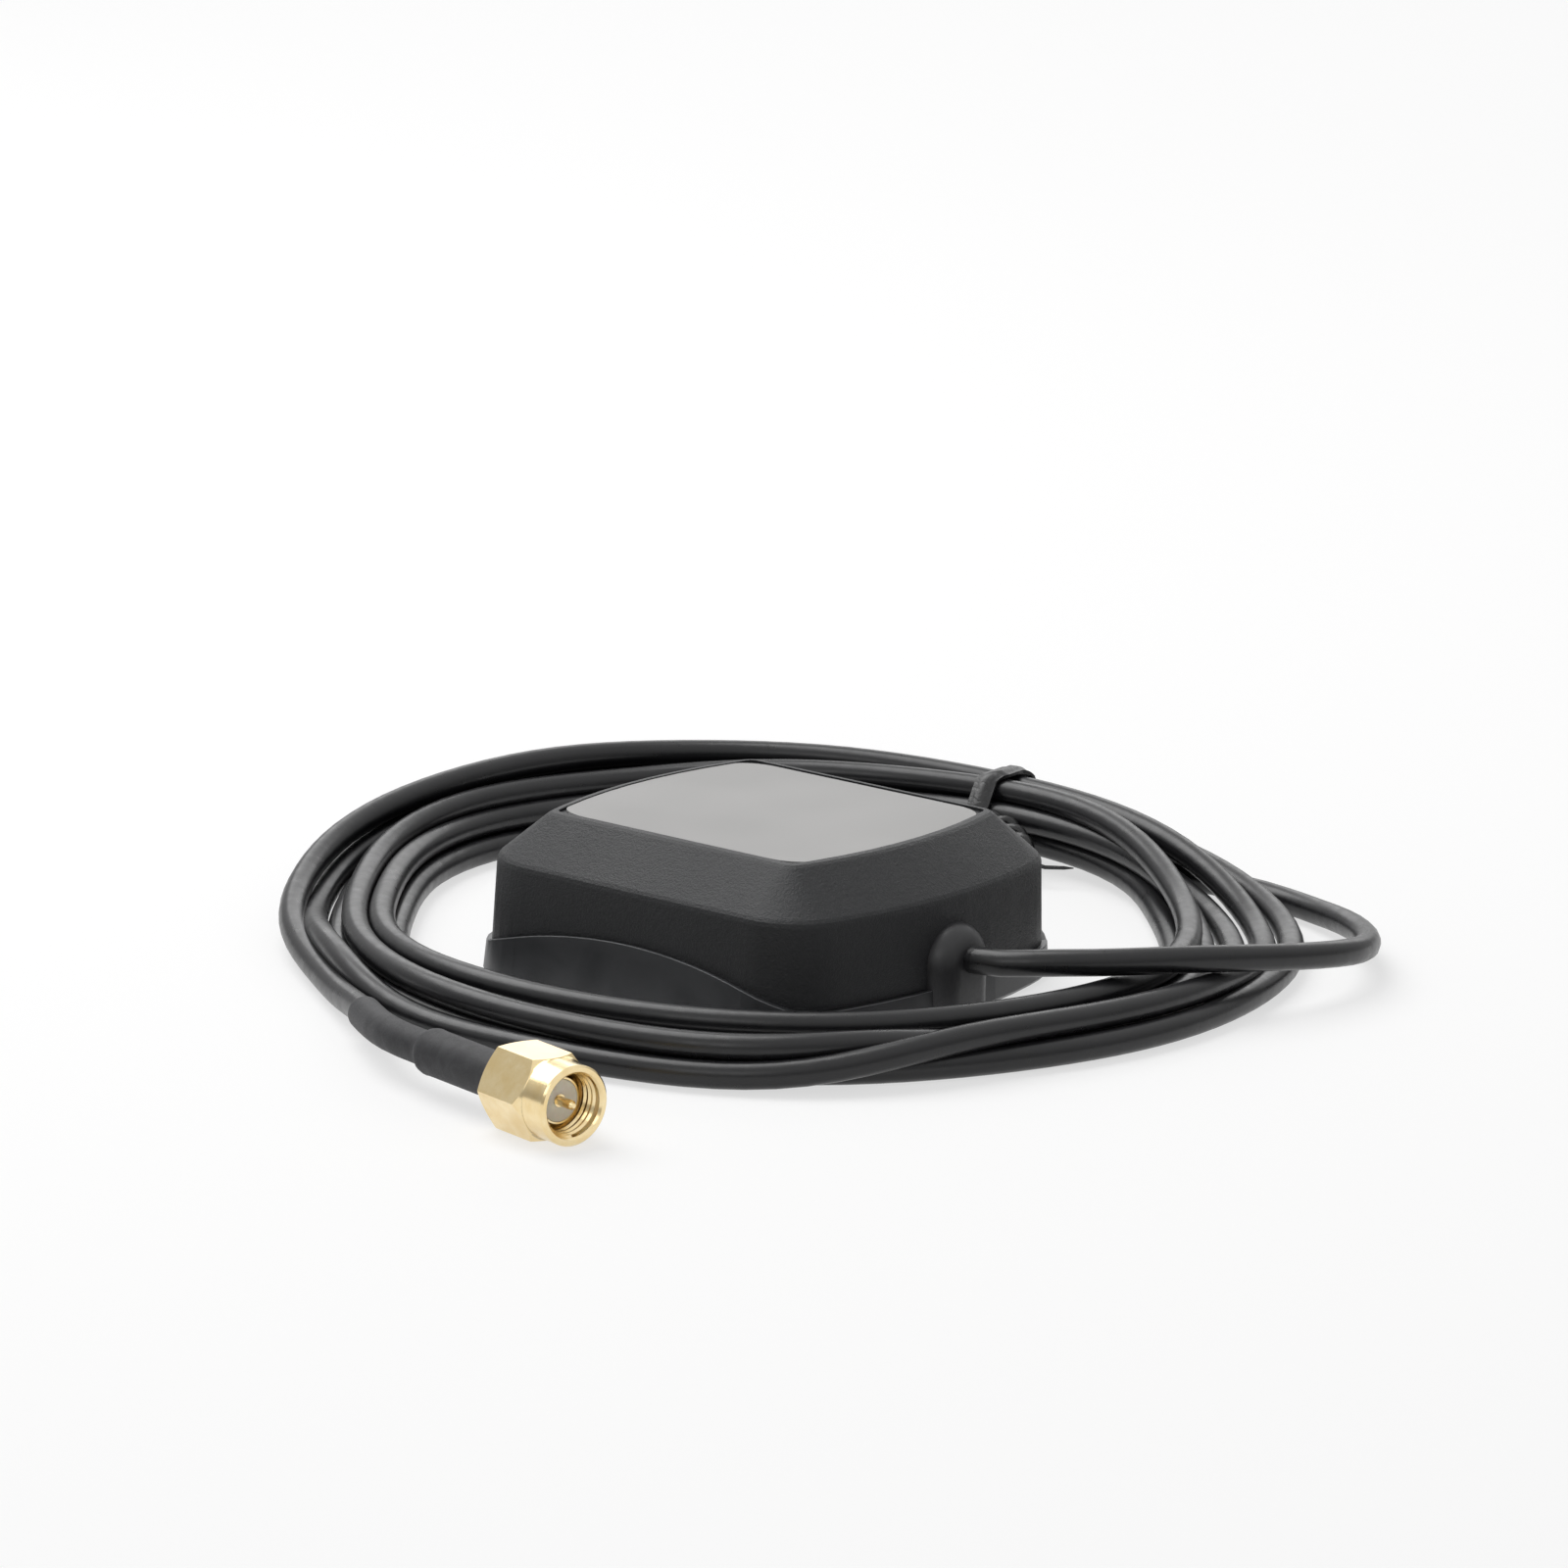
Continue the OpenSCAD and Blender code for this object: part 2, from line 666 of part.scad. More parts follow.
module plug_body() {
    seat_z = -7.5;
    color("#d9c08a") on_plug() rotate_extrude($fn = 48) polygon([
        [insulator_d / 2 + cable_gap, -face_depth], [contact_d / 2, -face_depth],
        [contact_d / 2, flange_z + gasket_t], [contact_d / 2 + root_flare, flange_z],
        [flange_d / 2, flange_z], [flange_d / 2, flange_z - flange_t], [shank_d / 2, flange_z - flange_t],
        [shank_d / 2, ring_z + seat_gap], [ring_in_d / 2 - seat_gap, ring_z + seat_gap],
        [ring_in_d / 2 - seat_gap, ring_z - ring_t - seat_gap], [shank_d / 2, ring_z - ring_t - seat_gap],
        [shank_d / 2, -nut_l - slip_gap], [ferrule_d / 2, -nut_l - slip_gap], [ferrule_d / 2, tail_z],
        [stem_d / 2, tail_z], [stem_d / 2, stem_end], [core_d / 2 + cable_gap, stem_end],
        [core_d / 2 + cable_gap, seat_z], [insulator_d / 2 + cable_gap, seat_z]
    ]);
}

module coupling_nut() {
    rear_taper = 0.7;
    corner_d = nut_af / cos(30);
    chamfer = (corner_d - collar_d) / 2 * tan(30) * 2;
    crest = thread_bore_d / 2;
    relief = 3.1;
    relief_z = -5;
    shoulder_z = flange_z - flange_t - slip_gap;
    rear_bore = shank_d / 2 + slip_gap;
    ring_bore = ring_out_d / 2 + seat_gap;
    color("#e2c98f") on_plug() difference() {
        union() {
            rotate_extrude($fn = 64) polygon([
                [0, 0], [collar_d / 2 - 0.2, 0], [collar_d / 2, -0.2],
                [collar_d / 2, -collar_l - 0.5], [0, -collar_l - 0.5]
            ]);
            intersection() {
                translate([0, 0, -nut_l]) rotate([0, 0, 30])
                    cylinder(h = nut_l - collar_l, d = corner_d, $fn = 6);
                rotate_extrude($fn = 64) polygon([
                    [0, -collar_l], [collar_d / 2, -collar_l], [corner_d / 2 + 0.1, -collar_l - chamfer],
                    [corner_d / 2 + 0.1, rear_taper - nut_l], [collar_d / 2 - 0.4, -nut_l], [0, -nut_l]
                ]);
            }
        }
        rotate_extrude($fn = 64) polygon([
            [0, over], [crest + 0.45 + over, over], [crest, -0.45], [crest, relief_z], [relief, relief_z],
            [relief, shoulder_z], [rear_bore, shoulder_z], [rear_bore, ring_z + slip_gap],
            [ring_bore, ring_z + slip_gap], [ring_bore, ring_z - ring_t - slip_gap],
            [rear_bore, ring_z - ring_t - slip_gap], [rear_bore, -nut_l - over], [0, -nut_l - over]
        ]);
    }
}

module snap_ring() {
    split = 0.8;
    color("#b8b9ba") on_plug() difference() {
        translate([0, 0, ring_z - ring_t]) cylinder(h = ring_t, d = ring_out_d, $fn = 48);
        translate([0, 0, ring_z - 2 * ring_t]) cylinder(h = 3 * ring_t, d = ring_in_d, $fn = 48);
        translate([0, -split / 2, ring_z - 2 * ring_t]) cube([ring_out_d, split, 3 * ring_t]);
    }
}

module plug_gasket() {
    bore = contact_d / 2 + cable_gap;
    color("#a8412f") on_plug() translate([0, 0, flange_z]) rotate_extrude($fn = 40) polygon([
        [bore + root_flare, 0], [flange_d / 2, 0], [flange_d / 2, gasket_t], [bore, gasket_t]
    ]);
}

module insulator() {
    back = -7.5;
    color("#efe9da") on_plug() difference() {
        translate([0, 0, back]) cylinder(h = -back - face_depth, d = insulator_d, $fn = 40);
        translate([0, 0, back - over]) cylinder(h = 3 * nut_l, d = pin_root_d + 2 * cable_gap, $fn = 24);
    }
}

module centre_pin() {
    tip_z = pin_reach - face_depth;
    cup_z = -7.6;
    cup_d = core_d - 0.1;
    taper = 0.35;
    color("#e2c98f") on_plug() rotate_extrude($fn = 32) polygon([
        [0, tip_z], [pin_d / 4, tip_z], [pin_d / 2, tip_z - taper], [pin_d / 2, -face_depth],
        [pin_root_d / 2, -face_depth], [pin_root_d / 2, cup_z], [cup_d / 2, cup_z],
        [cup_d / 2, pin_back], [0, pin_back]
    ]);
}

base_shell();
top_cover();
top_label();
seal_gasket();
base_screws();
base_magnets();
circuit_board();
adhesive_pad();
patch_ceramic();
patch_electrode();
feed_pin();
shield_can();
amplifier_chip();
saw_filter();
cable_gland();
cable_board_end();
cable_lead();
cable_coil();
cable_tail();
twist_tie();
heat_shrink_sleeve();
crimp_ferrule();
cable_plug_end();
plug_body();
coupling_nut();
snap_ring();
plug_gasket();
insulator();
centre_pin();
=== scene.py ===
"""Looks of the magnetic puck antenna: moulded housing, ring of thin coaxial cable and gold plated plug."""
import math

import bmesh
import bpy
import numpy as np
from mathutils import Matrix, Vector
from mathutils.bvhtree import BVHTree


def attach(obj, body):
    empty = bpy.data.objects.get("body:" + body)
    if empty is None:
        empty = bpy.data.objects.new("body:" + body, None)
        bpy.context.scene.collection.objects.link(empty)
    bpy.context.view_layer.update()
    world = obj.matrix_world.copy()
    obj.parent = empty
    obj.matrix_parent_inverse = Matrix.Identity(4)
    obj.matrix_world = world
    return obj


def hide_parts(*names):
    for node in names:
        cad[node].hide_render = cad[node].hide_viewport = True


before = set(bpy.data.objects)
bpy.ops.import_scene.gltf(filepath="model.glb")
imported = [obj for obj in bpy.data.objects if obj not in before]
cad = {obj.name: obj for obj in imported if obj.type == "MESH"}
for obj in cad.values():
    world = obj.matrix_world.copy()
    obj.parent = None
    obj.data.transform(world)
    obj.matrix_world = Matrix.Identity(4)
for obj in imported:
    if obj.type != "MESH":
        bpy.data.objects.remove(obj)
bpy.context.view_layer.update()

scene = bpy.context.scene
MM = 0.001


# ---------------------------------------------------------------- camera
# A long lens, low over the table, turned towards the corner between the gland and the long side.
CAMERA_AZIMUTH = math.radians(37.955)
CAMERA_HEIGHT = math.radians(13.611)
CAMERA_ROLL = math.radians(1.807)
CAMERA_DISTANCE = 0.8
CAMERA_AIM = Vector((0.903, 0.704, 19.778)) * MM
FOCAL_LENGTH_PX = 8032
PHOTO_WIDTH_PX = 1600
SENSOR_WIDTH = 36


def set_camera():
    """The camera that was fitted to the photograph, built from its heading, height and roll."""
    back = Vector((math.sin(CAMERA_AZIMUTH) * math.cos(CAMERA_HEIGHT),
                   -math.cos(CAMERA_AZIMUTH) * math.cos(CAMERA_HEIGHT), math.sin(CAMERA_HEIGHT)))
    level = Vector((math.cos(CAMERA_AZIMUTH), math.sin(CAMERA_AZIMUTH), 0))
    upright = back.cross(level)
    right = level * math.cos(CAMERA_ROLL) + upright * math.sin(CAMERA_ROLL)
    up = back.cross(right)
    data = bpy.data.cameras.new("camera")
    data.sensor_width = SENSOR_WIDTH
    data.lens = FOCAL_LENGTH_PX * SENSOR_WIDTH / PHOTO_WIDTH_PX
    data.clip_start, data.clip_end = 0.05, 20
    camera = bpy.data.objects.new("camera", data)
    turn = Matrix((right, up, back)).transposed().to_4x4()
    camera.matrix_world = Matrix.Translation(CAMERA_AIM + back * CAMERA_DISTANCE) @ turn
    scene.collection.objects.link(camera)
    scene.camera = camera


set_camera()


# ---------------------------------------------------------------- cable
# The routes are those of the source, in millimetres, from the gland to the ring and from the ring to the plug.
CABLE_D = 2.8
LEAD = [
    (26.6, 0, 6.2), (27.6, 0, 6.2), (30.2, 0.9, 6.4), (33.2, 3.2, 6.6), (36.4, 6, 6.7), (39.2, 9.4, 6.7),
    (42, 13.8, 6.6), (44.4, 19, 6.2), (46.2, 24.6, 5.6), (47.2, 30.4, 4.9), (47.2, 35.8, 4.2),
    (45.6, 41.2, 3.4), (42.6, 46, 2.8), (38.6, 50.2, 2.3), (34.2, 53.4, 1.9), (29.8, 55.6, 1.6),
    (25.4, 57.2, 1.5), (20.8, 58.2, 1.5), (16, 58.6, 1.5), (11, 58.4, 1.5), (5, 57.4, 1.7),
]
TAIL = [
    (-28, -36.4, 1.7), (-23, -40.2, 1.8), (-18, -44, 2.1), (-13.2, -47.6, 2.6), (-8.2, -51.6, 3.2),
    (-3.6, -55, 3.8), (0.49, -56.83, 4.0), (2.93, -57.39, 4.0),
]
RING_MIDDLE = (-2.8, 7.4)
# Angle round the ring: (radius, height) of each pass of the cable there, first to last.
PASSES = {
    102: [(51.6, 2.5), (48.8, 3.2), (47.4, 5.4), (48.8, 7.34), (50.2, 4.92), (53.0, 4.92), (51.6, 7.34)],
    118: [(51.0, 1.9), (49.6, 4.2), (47.0, 4.9), (49.5, 7.4), (52.0, 3.6), (53.4, 5.6), (52.2, 8.3)],
    134: [(49.9, 1.4), (50.2, 4.1), (47.6, 4.8), (50.4, 7.3), (52.8, 2.4), (53.4, 5.6), (53.9, 8.4)],
    150: [(49.2, 1.4), (51.2, 3.2), (48.6, 4.2), (50.6, 6.2), (53.8, 3.0), (54.0, 5.8), (54.0, 8.5)],
    165: [(49.0, 1.4), (51.8, 1.4), (49.9, 3.82), (50.9, 6.2), (53.2, 3.82), (54.2, 5.9), (53.2, 8.2)],
    186: [(45.2, 1.4), (48.0, 1.4), (46.6, 3.82), (49.0, 5.0), (51.0, 1.8), (53.2, 3.4), (53.4, 6.4)],
    210: [(40.6, 1.4), (43.6, 1.4), (42.2, 3.82), (45.2, 3.82), (46.6, 1.4), (49.8, 1.4), (51.9, 3.5)],
    240: [(42.1, 1.4), (44.9, 1.4), (43.5, 3.82), (46.3, 3.82), (48.0, 1.4), (49.4, 3.7)],
    256: [(41.4, 1.4), (44.3, 1.4), (42.9, 3.85), (48.0, 3.85), (48.3, 1.4), (51.4, 1.6)],
    275: [(41.2, 1.4), (44.0, 1.4), (42.8, 3.82), (49.4, 3.82), (48.6, 1.4), (51.6, 1.6)],
    308: [(40.8, 1.4), (43.6, 1.4), (42.2, 3.8), (51.8, 3.8), (50.4, 1.4), (53.2, 1.4)],
    322: [(40.4, 1.4), (43.2, 1.4), (41.8, 3.8), (47.6, 3.2), (48.8, 1.4), (50.4, 3.6)],
    338: [(39.8, 1.4), (42.4, 1.4), (41.0, 3.8), (45.1, 1.5), (47.9, 1.4), (46.6, 3.8)],
    365: [(39.8, 1.4), (42.6, 1.4), (41.2, 3.8), (45.8, 1.4), (48.9, 1.4), (47.2, 3.6)],
    380: [(39.9, 1.4), (42.7, 1.4), (41.3, 3.8), (46.0, 1.4), (49.7, 1.4), (47.8, 3.2)],
    400: [(39.9, 1.4), (42.8, 1.4), (41.35, 3.85), (46.0, 1.4), (52.2, 1.4), (49.2, 1.4)],
    415: [(40.8, 1.4), (43.2, 1.9), (42.2, 4.4), (46.4, 1.5), (53.0, 2.2), (49.8, 2.4)],
    435: [(46.4, 2.9), (45.6, 5.0), (45.2, 6.3), (48.6, 2.6), (52.4, 4.2), (50.2, 6.0)],
}
CABLE_STEP = 3.0
TURN_POINTS = 433


def round_ring(angle, radius, height):
    """A place round the ring as a point, in millimetres."""
    a = math.radians(angle)
    return (RING_MIDDLE[0] + radius * math.cos(a), RING_MIDDLE[1] + radius * math.sin(a), height)


def ring_place(point):
    """A point as its place round the ring: angle, radius and height."""
    x, y = point[0] - RING_MIDDLE[0], point[1] - RING_MIDDLE[1]
    return math.degrees(math.atan2(y, x)) % 360, math.hypot(x, y), point[2]


def smooth_between(angles, values, at):
    """Smooth curve through values that are known at some angles."""
    values = np.array(values)
    slopes = np.zeros_like(values)
    slopes[1:-1] = (values[2:] - values[:-2]) / (angles[2:] - angles[:-2])[:, None]
    slopes[0] = (values[1] - values[0]) / (angles[1] - angles[0])
    slopes[-1] = (values[-1] - values[-2]) / (angles[-1] - angles[-2])
    i = np.clip(np.searchsorted(angles, at) - 1, 0, len(angles) - 2)
    gap = (angles[i + 1] - angles[i])[:, None]
    t = (at[:, None] - angles[i][:, None]) / gap
    return ((2 * t**3 - 3 * t**2 + 1) * values[i] + (t**3 - 2 * t**2 + t) * gap * slopes[i]
            + (3 * t**2 - 2 * t**3) * values[i + 1] + (t**3 - t**2) * gap * slopes[i + 1])


def wound_turns():
    """The turns of the ring, from where the lead joins it to where the tail leaves it."""
    keys = [ring_place(LEAD[-1])]
    for turn in range(7):
        for angle, places in sorted(PASSES.items()):
            if turn < len(places):
                keys.append((angle + 360 * turn, *places[turn]))
    last = ring_place(TAIL[0])
    keys.append((last[0] + 360 * 6, *last[1:]))
    keys = np.array(sorted(keys))
    at = np.linspace(keys[0, 0], keys[-1, 0], TURN_POINTS)[1:-1]
    places = smooth_between(keys[:, 0], keys[:, 1:], at)
    return [round_ring(a, r, z) for a, (r, z) in zip(at, places)]


def evenly(points, step):
    """The same run as points that lie about one step apart."""
    points = np.array(points, float)
    run = np.r_[0, np.cumsum(np.linalg.norm(np.diff(points, axis=0), axis=1))]
    at = np.linspace(0, run[-1], round(run[-1] / step) + 1)
    return np.stack([np.interp(at, run, points[:, k]) for k in range(3)], axis=1)


def settle(points, head, tail, rounds=260, smoothings=6):
    """Lets the turns come to rest one diameter apart, beside or on their neighbours, with none below the table.

    The first points, up to head, and the last ones, from tail, stay where they are.
    """
    home = points.copy()
    index = np.arange(len(points))
    eased, same_turn, pairs_last = 6, 5, 8
    loose = np.clip(np.minimum(index - head, len(points) - 1 - tail - index) / eased, 0, 1)[:, None]
    apart = CABLE_D * 1.015
    for k in range(rounds):
        if k % pairs_last == 0:
            reach = np.linalg.norm(points[:, None] - points[None], axis=2)
            one, other = np.nonzero((reach < 2 * apart) & (np.abs(index[:, None] - index[None]) > same_turn))
        away = points[one] - points[other]
        gap = np.linalg.norm(away, axis=1)
        near = gap < apart
        push = np.zeros_like(points)
        count = np.zeros(len(points))
        np.add.at(push, one[near], away[near] * ((apart - gap[near]) / gap[near])[:, None])
        np.add.at(count, one[near], 1)
        push *= 0.65 / np.maximum(count, 1)[:, None]
        bend = np.zeros_like(points)
        bend[2:-2] = (4 * points[1:-3] - points[:-4] - 6 * points[2:-2] + 4 * points[3:-1] - points[4:]) / 16
        stiff = 0.5 if k < rounds * 0.8 else 0.25
        hold = 0.02 if k < rounds * 0.6 else 0
        points = points + loose * (push + stiff * bend + hold * (home - points))
        points[:, 2] = np.maximum(points[:, 2], CABLE_D / 2)
    for _ in range(smoothings):
        points[1:-1] += loose[1:-1] * 0.25 * (points[:-2] - 2 * points[1:-1] + points[2:])
    return points


def run_of(points):
    """The length of a run of points."""
    return float(np.linalg.norm(np.diff(np.array(points, float), axis=0), axis=1).sum())


def rounded(points, parts=6):
    """A route as a smooth curve through its points."""
    at = np.linspace(0, len(points) - 1, (len(points) - 1) * parts + 1)
    return [tuple(p) for p in smooth_between(np.arange(len(points)), points, at)]


# The last few points of the lead and the first few of the tail are free to settle with the ring.
FREE_POINTS = 5
INSIDE_GLAND = (24.8, 0, 6.2)
cable_path = settle(evenly(rounded(LEAD) + wound_turns() + rounded(TAIL), CABLE_STEP),
                    head=int(run_of(LEAD) / CABLE_STEP) - FREE_POINTS,
                    tail=int(run_of(TAIL) / CABLE_STEP) - FREE_POINTS)
cable_path = np.vstack([INSIDE_GLAND, cable_path])


# ---------------------------------------------------------------- finishes
def linear(hexadecimal):
    """A colour as it is seen, such as 1e1f21, as the linear values that the shader takes."""
    seen = [int(hexadecimal[i:i + 2], 16) / 255 for i in (0, 2, 4)]
    return tuple(v / 12.92 if v <= 0.04045 else ((v + 0.055) / 1.055) ** 2.4 for v in seen) + (1.0,)


def add(finish, kind, sockets=None, **settings):
    """Adds one shader node. A socket's value is a number or colour, or another node's output."""
    tree = finish.node_tree
    made = tree.nodes.new("ShaderNode" + kind)
    for key, value in settings.items():
        setattr(made, key, value)
    for key, value in (sockets or {}).items():
        if isinstance(value, bpy.types.NodeSocket):
            tree.links.new(value, made.inputs[key])
        else:
            made.inputs[key].default_value = value
    return made


def start_finish(name, **constants):
    """A new finish whose constant values go straight onto the shader's own sockets."""
    finish = bpy.data.materials.new(name)
    finish.use_nodes = True
    shader = finish.node_tree.nodes["Principled BSDF"]
    for key, value in constants.items():
        shader.inputs[key.replace("_", " ")].default_value = value
    return finish, shader


def in_millimetres(finish, turn=(0, 0, 0)):
    """Object coordinates in millimetres, so that a pattern's scale is one over its size."""
    where = add(finish, "TexCoord").outputs["Object"]
    return add(finish, "Mapping", {"Vector": where, "Scale": (1 / MM, 1 / MM, 1 / MM),
                                   "Rotation": turn}).outputs["Vector"]


def noise(finish, where, size, detail=2.0, rough=0.5):
    """Cloudy noise with features of a size in millimetres."""
    return add(finish, "TexNoise", {"Vector": where, "Scale": 1 / size, "Detail": detail,
                                    "Roughness": rough}).outputs["Fac"]


def between(finish, factor, low, high, start=0.35, end=0.65):
    """Two colours, blended where the factor goes from start to end."""
    ramp = add(finish, "ValToRGB", {"Fac": factor})
    ramp.color_ramp.elements[0].position = start
    ramp.color_ramp.elements[1].position = end
    ramp.color_ramp.elements[0].color = linear(low)
    ramp.color_ramp.elements[1].color = linear(high)
    return ramp.outputs["Color"]


def spread(finish, factor, low, high):
    """A value that goes from low to high with the middle range of a noise."""
    return add(finish, "MapRange", {"Value": factor, "From Min": 0.3, "From Max": 0.7, "To Min": low,
                                    "To Max": high}).outputs["Result"]


def relief(finish, height, depth, under=None):
    """A raised pattern, its depth in millimetres, on top of another one."""
    sockets = {"Height": height, "Distance": depth * MM, "Strength": 1.0}
    if under is not None:
        sockets["Normal"] = under
    return add(finish, "Bump", sockets).outputs["Normal"]


def wire(finish, shader, **outputs):
    """Links each output to the shader's socket of that name."""
    for key, output in outputs.items():
        finish.node_tree.links.new(output, shader.inputs[key.replace("_", " ")])


def rounded_edge(finish, radius):
    """The normal of a mould's rounded edge, and a mask that is 1 along that edge and 0 on the faces beside it."""
    turned = add(finish, "Bevel", {"Radius": radius * MM}, samples=8).outputs["Normal"]
    face = add(finish, "NewGeometry").outputs["True Normal"]
    likeness = add(finish, "VectorMath", {0: turned, 1: face}, operation="DOT_PRODUCT").outputs["Value"]
    mask = add(finish, "MapRange", {"Value": likeness, "From Min": 0.99, "From Max": 0.9, "To Min": 0.0,
                                    "To Max": 1.0})
    return turned, mask.outputs["Result"]


def spark_eroded_abs():
    """Black ABS from a spark-eroded mould: an even grain that scatters light, so its sloped faces look charcoal.

    The real grain is some 0.05 mm across and is drawn 0.2 and 0.5 mm across, so that it shows.
    """
    finish, shader = start_finish("spark_eroded_abs", Specular_IOR_Level=0.4)
    where = in_millimetres(finish)
    fine = noise(finish, where, 0.2, 3.0, 0.65)
    coarse = noise(finish, where, 0.5, 2.0)
    broad = noise(finish, where, 14, 2.0)
    grain = relief(finish, fine, 0.1, relief(finish, coarse, 0.06))
    wire(finish, shader, Base_Color=between(finish, broad, "1a1b1d", "202123"),
         Roughness=spread(finish, broad, 0.42, 0.5), Normal=grain)
    return finish


def satin_abs():
    """The same black ABS from a polished cavity: smoother, with faint flow marks. It is coloured lighter than the
    cover as painted light on the skirt, and its rounded edges carry a painted highlight.
    """
    finish, shader = start_finish("satin_abs", Specular_IOR_Level=0.5)
    where = in_millimetres(finish)
    fine = noise(finish, where, 0.2, 2.0)
    flow = add(finish, "TexNoise", {"Vector": where, "Scale": 1 / 9, "Detail": 2.0,
                                    "Distortion": 1.5}).outputs["Fac"]
    turned, edge = rounded_edge(finish, 0.2)
    # Painted light: the skirt's colours are set lighter than the cover's black.
    face = between(finish, flow, "303133", "38393b")
    # Painted highlight: along the rounded edges the colour is mixed towards pale grey.
    pale = add(finish, "MixRGB", {"Fac": edge, "Color1": face, "Color2": linear("727375")}).outputs["Color"]
    wire(finish, shader, Base_Color=pale, Roughness=spread(finish, flow, 0.32, 0.4),
         Normal=relief(finish, fine, 0.008, turned))
    return finish


def bare_label_film():
    """Unprinted light grey polycarbonate film with a velvet face: flat and even, with a hair-fine emboss."""
    finish, shader = start_finish("bare_label_film", Specular_IOR_Level=0.3)
    where = in_millimetres(finish)
    velvet = noise(finish, where, 0.12, 2.0)
    broad = noise(finish, where, 18, 1.0)
    wire(finish, shader, Base_Color=between(finish, broad, "a5a4a3", "acabaa"),
         Roughness=spread(finish, velvet, 0.55, 0.68), Normal=relief(finish, velvet, 0.004))
    return finish


def nitrile_rubber():
    """Moulded nitrile rubber of the seal: dead black with a dusty bloom."""
    finish, shader = start_finish("nitrile_rubber", Specular_IOR_Level=0.3)
    where = in_millimetres(finish)
    bloom = noise(finish, where, 1.3, 4.0, 0.6)
    wire(finish, shader, Base_Color=between(finish, bloom, "161617", "29292a"),
         Roughness=spread(finish, bloom, 0.7, 0.9), Normal=relief(finish, bloom, 0.02))
    return finish


def zinc_plated_steel():
    """Bright zinc on steel screws: pale grey with a patchy bluish passivation."""
    finish, shader = start_finish("zinc_plated_steel", Metallic=1.0)
    where = in_millimetres(finish)
    patches = noise(finish, where, 0.9, 3.0)
    wire(finish, shader, Base_Color=between(finish, patches, "9fa3a8", "c4c2ba"),
         Roughness=spread(finish, patches, 0.25, 0.42), Normal=relief(finish, noise(finish, where, 0.1), 0.004))
    return finish


def nickel_plated_magnet():
    """Nickel plating over sintered magnet: warm grey, mirror-like, with tiny pits of the sinter beneath."""
    finish, shader = start_finish("nickel_plated_magnet", Metallic=1.0)
    where = in_millimetres(finish)
    pits = noise(finish, where, 0.35, 4.0, 0.7)
    scuffs = add(finish, "TexNoise", {"Vector": in_millimetres(finish, turn=(0, 0, 0.6)), "Scale": 0.5,
                                      "Detail": 5.0, "Distortion": 2.0}).outputs["Fac"]
    wire(finish, shader, Base_Color=between(finish, pits, "a5a39d", "bab7b0"),
         Roughness=spread(finish, scuffs, 0.14, 0.34), Normal=relief(finish, pits, 0.006))
    return finish


def solder_mask():
    """Green solder mask on glass-epoxy board: copper tracks show through it as lighter, slightly raised lanes."""
    finish, shader = start_finish("solder_mask", Coat_Weight=0.4, Coat_Roughness=0.15)
    where = in_millimetres(finish)
    lanes = add(finish, "TexBrick", {"Vector": where, "Scale": 0.35, "Mortar Size": 0.08, "Color1": (0, 0, 0, 1),
                                     "Color2": (0, 0, 0, 1), "Mortar": (1, 1, 1, 1)}).outputs["Color"]
    weave = noise(finish, where, 0.4, 1.0)
    wire(finish, shader, Base_Color=between(finish, lanes, "134a2b", "2c7446", 0.2, 0.8),
         Roughness=spread(finish, weave, 0.3, 0.42), Normal=relief(finish, lanes, 0.03))
    return finish


def acrylic_foam_tape():
    """Double-sided acrylic foam: cream, matt, with fine closed cells."""
    finish, shader = start_finish("acrylic_foam_tape", Specular_IOR_Level=0.3)
    where = in_millimetres(finish)
    cells = add(finish, "TexVoronoi", {"Vector": where, "Scale": 3.5}).outputs["Distance"]
    wire(finish, shader, Base_Color=between(finish, cells, "cfcab8", "e2dfd2", 0.0, 0.8),
         Roughness=spread(finish, cells, 0.75, 0.9), Normal=relief(finish, cells, 0.03))
    return finish


def fired_ceramic():
    """Fired titanate ceramic of the patch: buff, uneven in tone, with a fine open grain."""
    finish, shader = start_finish("fired_ceramic", Specular_IOR_Level=0.45)
    where = in_millimetres(finish)
    body = noise(finish, where, 2.5, 4.0)
    specks = noise(finish, where, 0.22, 1.0)
    wire(finish, shader, Base_Color=between(finish, body, "bfae8a", "d3c5a5"),
         Roughness=spread(finish, specks, 0.42, 0.6), Normal=relief(finish, specks, 0.012))
    return finish


def fired_silver():
    """Screen-printed and fired silver: near-white, with the screen's mesh, a thread each 0.2 mm, left in it."""
    finish, shader = start_finish("fired_silver", Metallic=1.0)
    where = in_millimetres(finish, turn=(0, 0, math.radians(22)))
    mesh = add(finish, "TexWave", {"Vector": where, "Scale": 1.6, "Distortion": 1.0, "Detail": 1.0}).outputs["Fac"]
    wire(finish, shader, Base_Color=between(finish, noise(finish, where, 1.8, 3.0), "c3c0b8", "dddbd6"),
         Roughness=spread(finish, mesh, 0.34, 0.48), Normal=relief(finish, mesh, 0.006))
    return finish


def tinned_brass():
    """Hot-tinned brass pin: soft silver-grey, wavy where the solder drew back."""
    finish, shader = start_finish("tinned_brass", Metallic=1.0)
    where = in_millimetres(finish)
    waves = noise(finish, where, 0.6, 2.0)
    wire(finish, shader, Base_Color=between(finish, waves, "a9a69c", "c9c7c0"),
         Roughness=spread(finish, waves, 0.22, 0.4), Normal=relief(finish, waves, 0.02))
    return finish


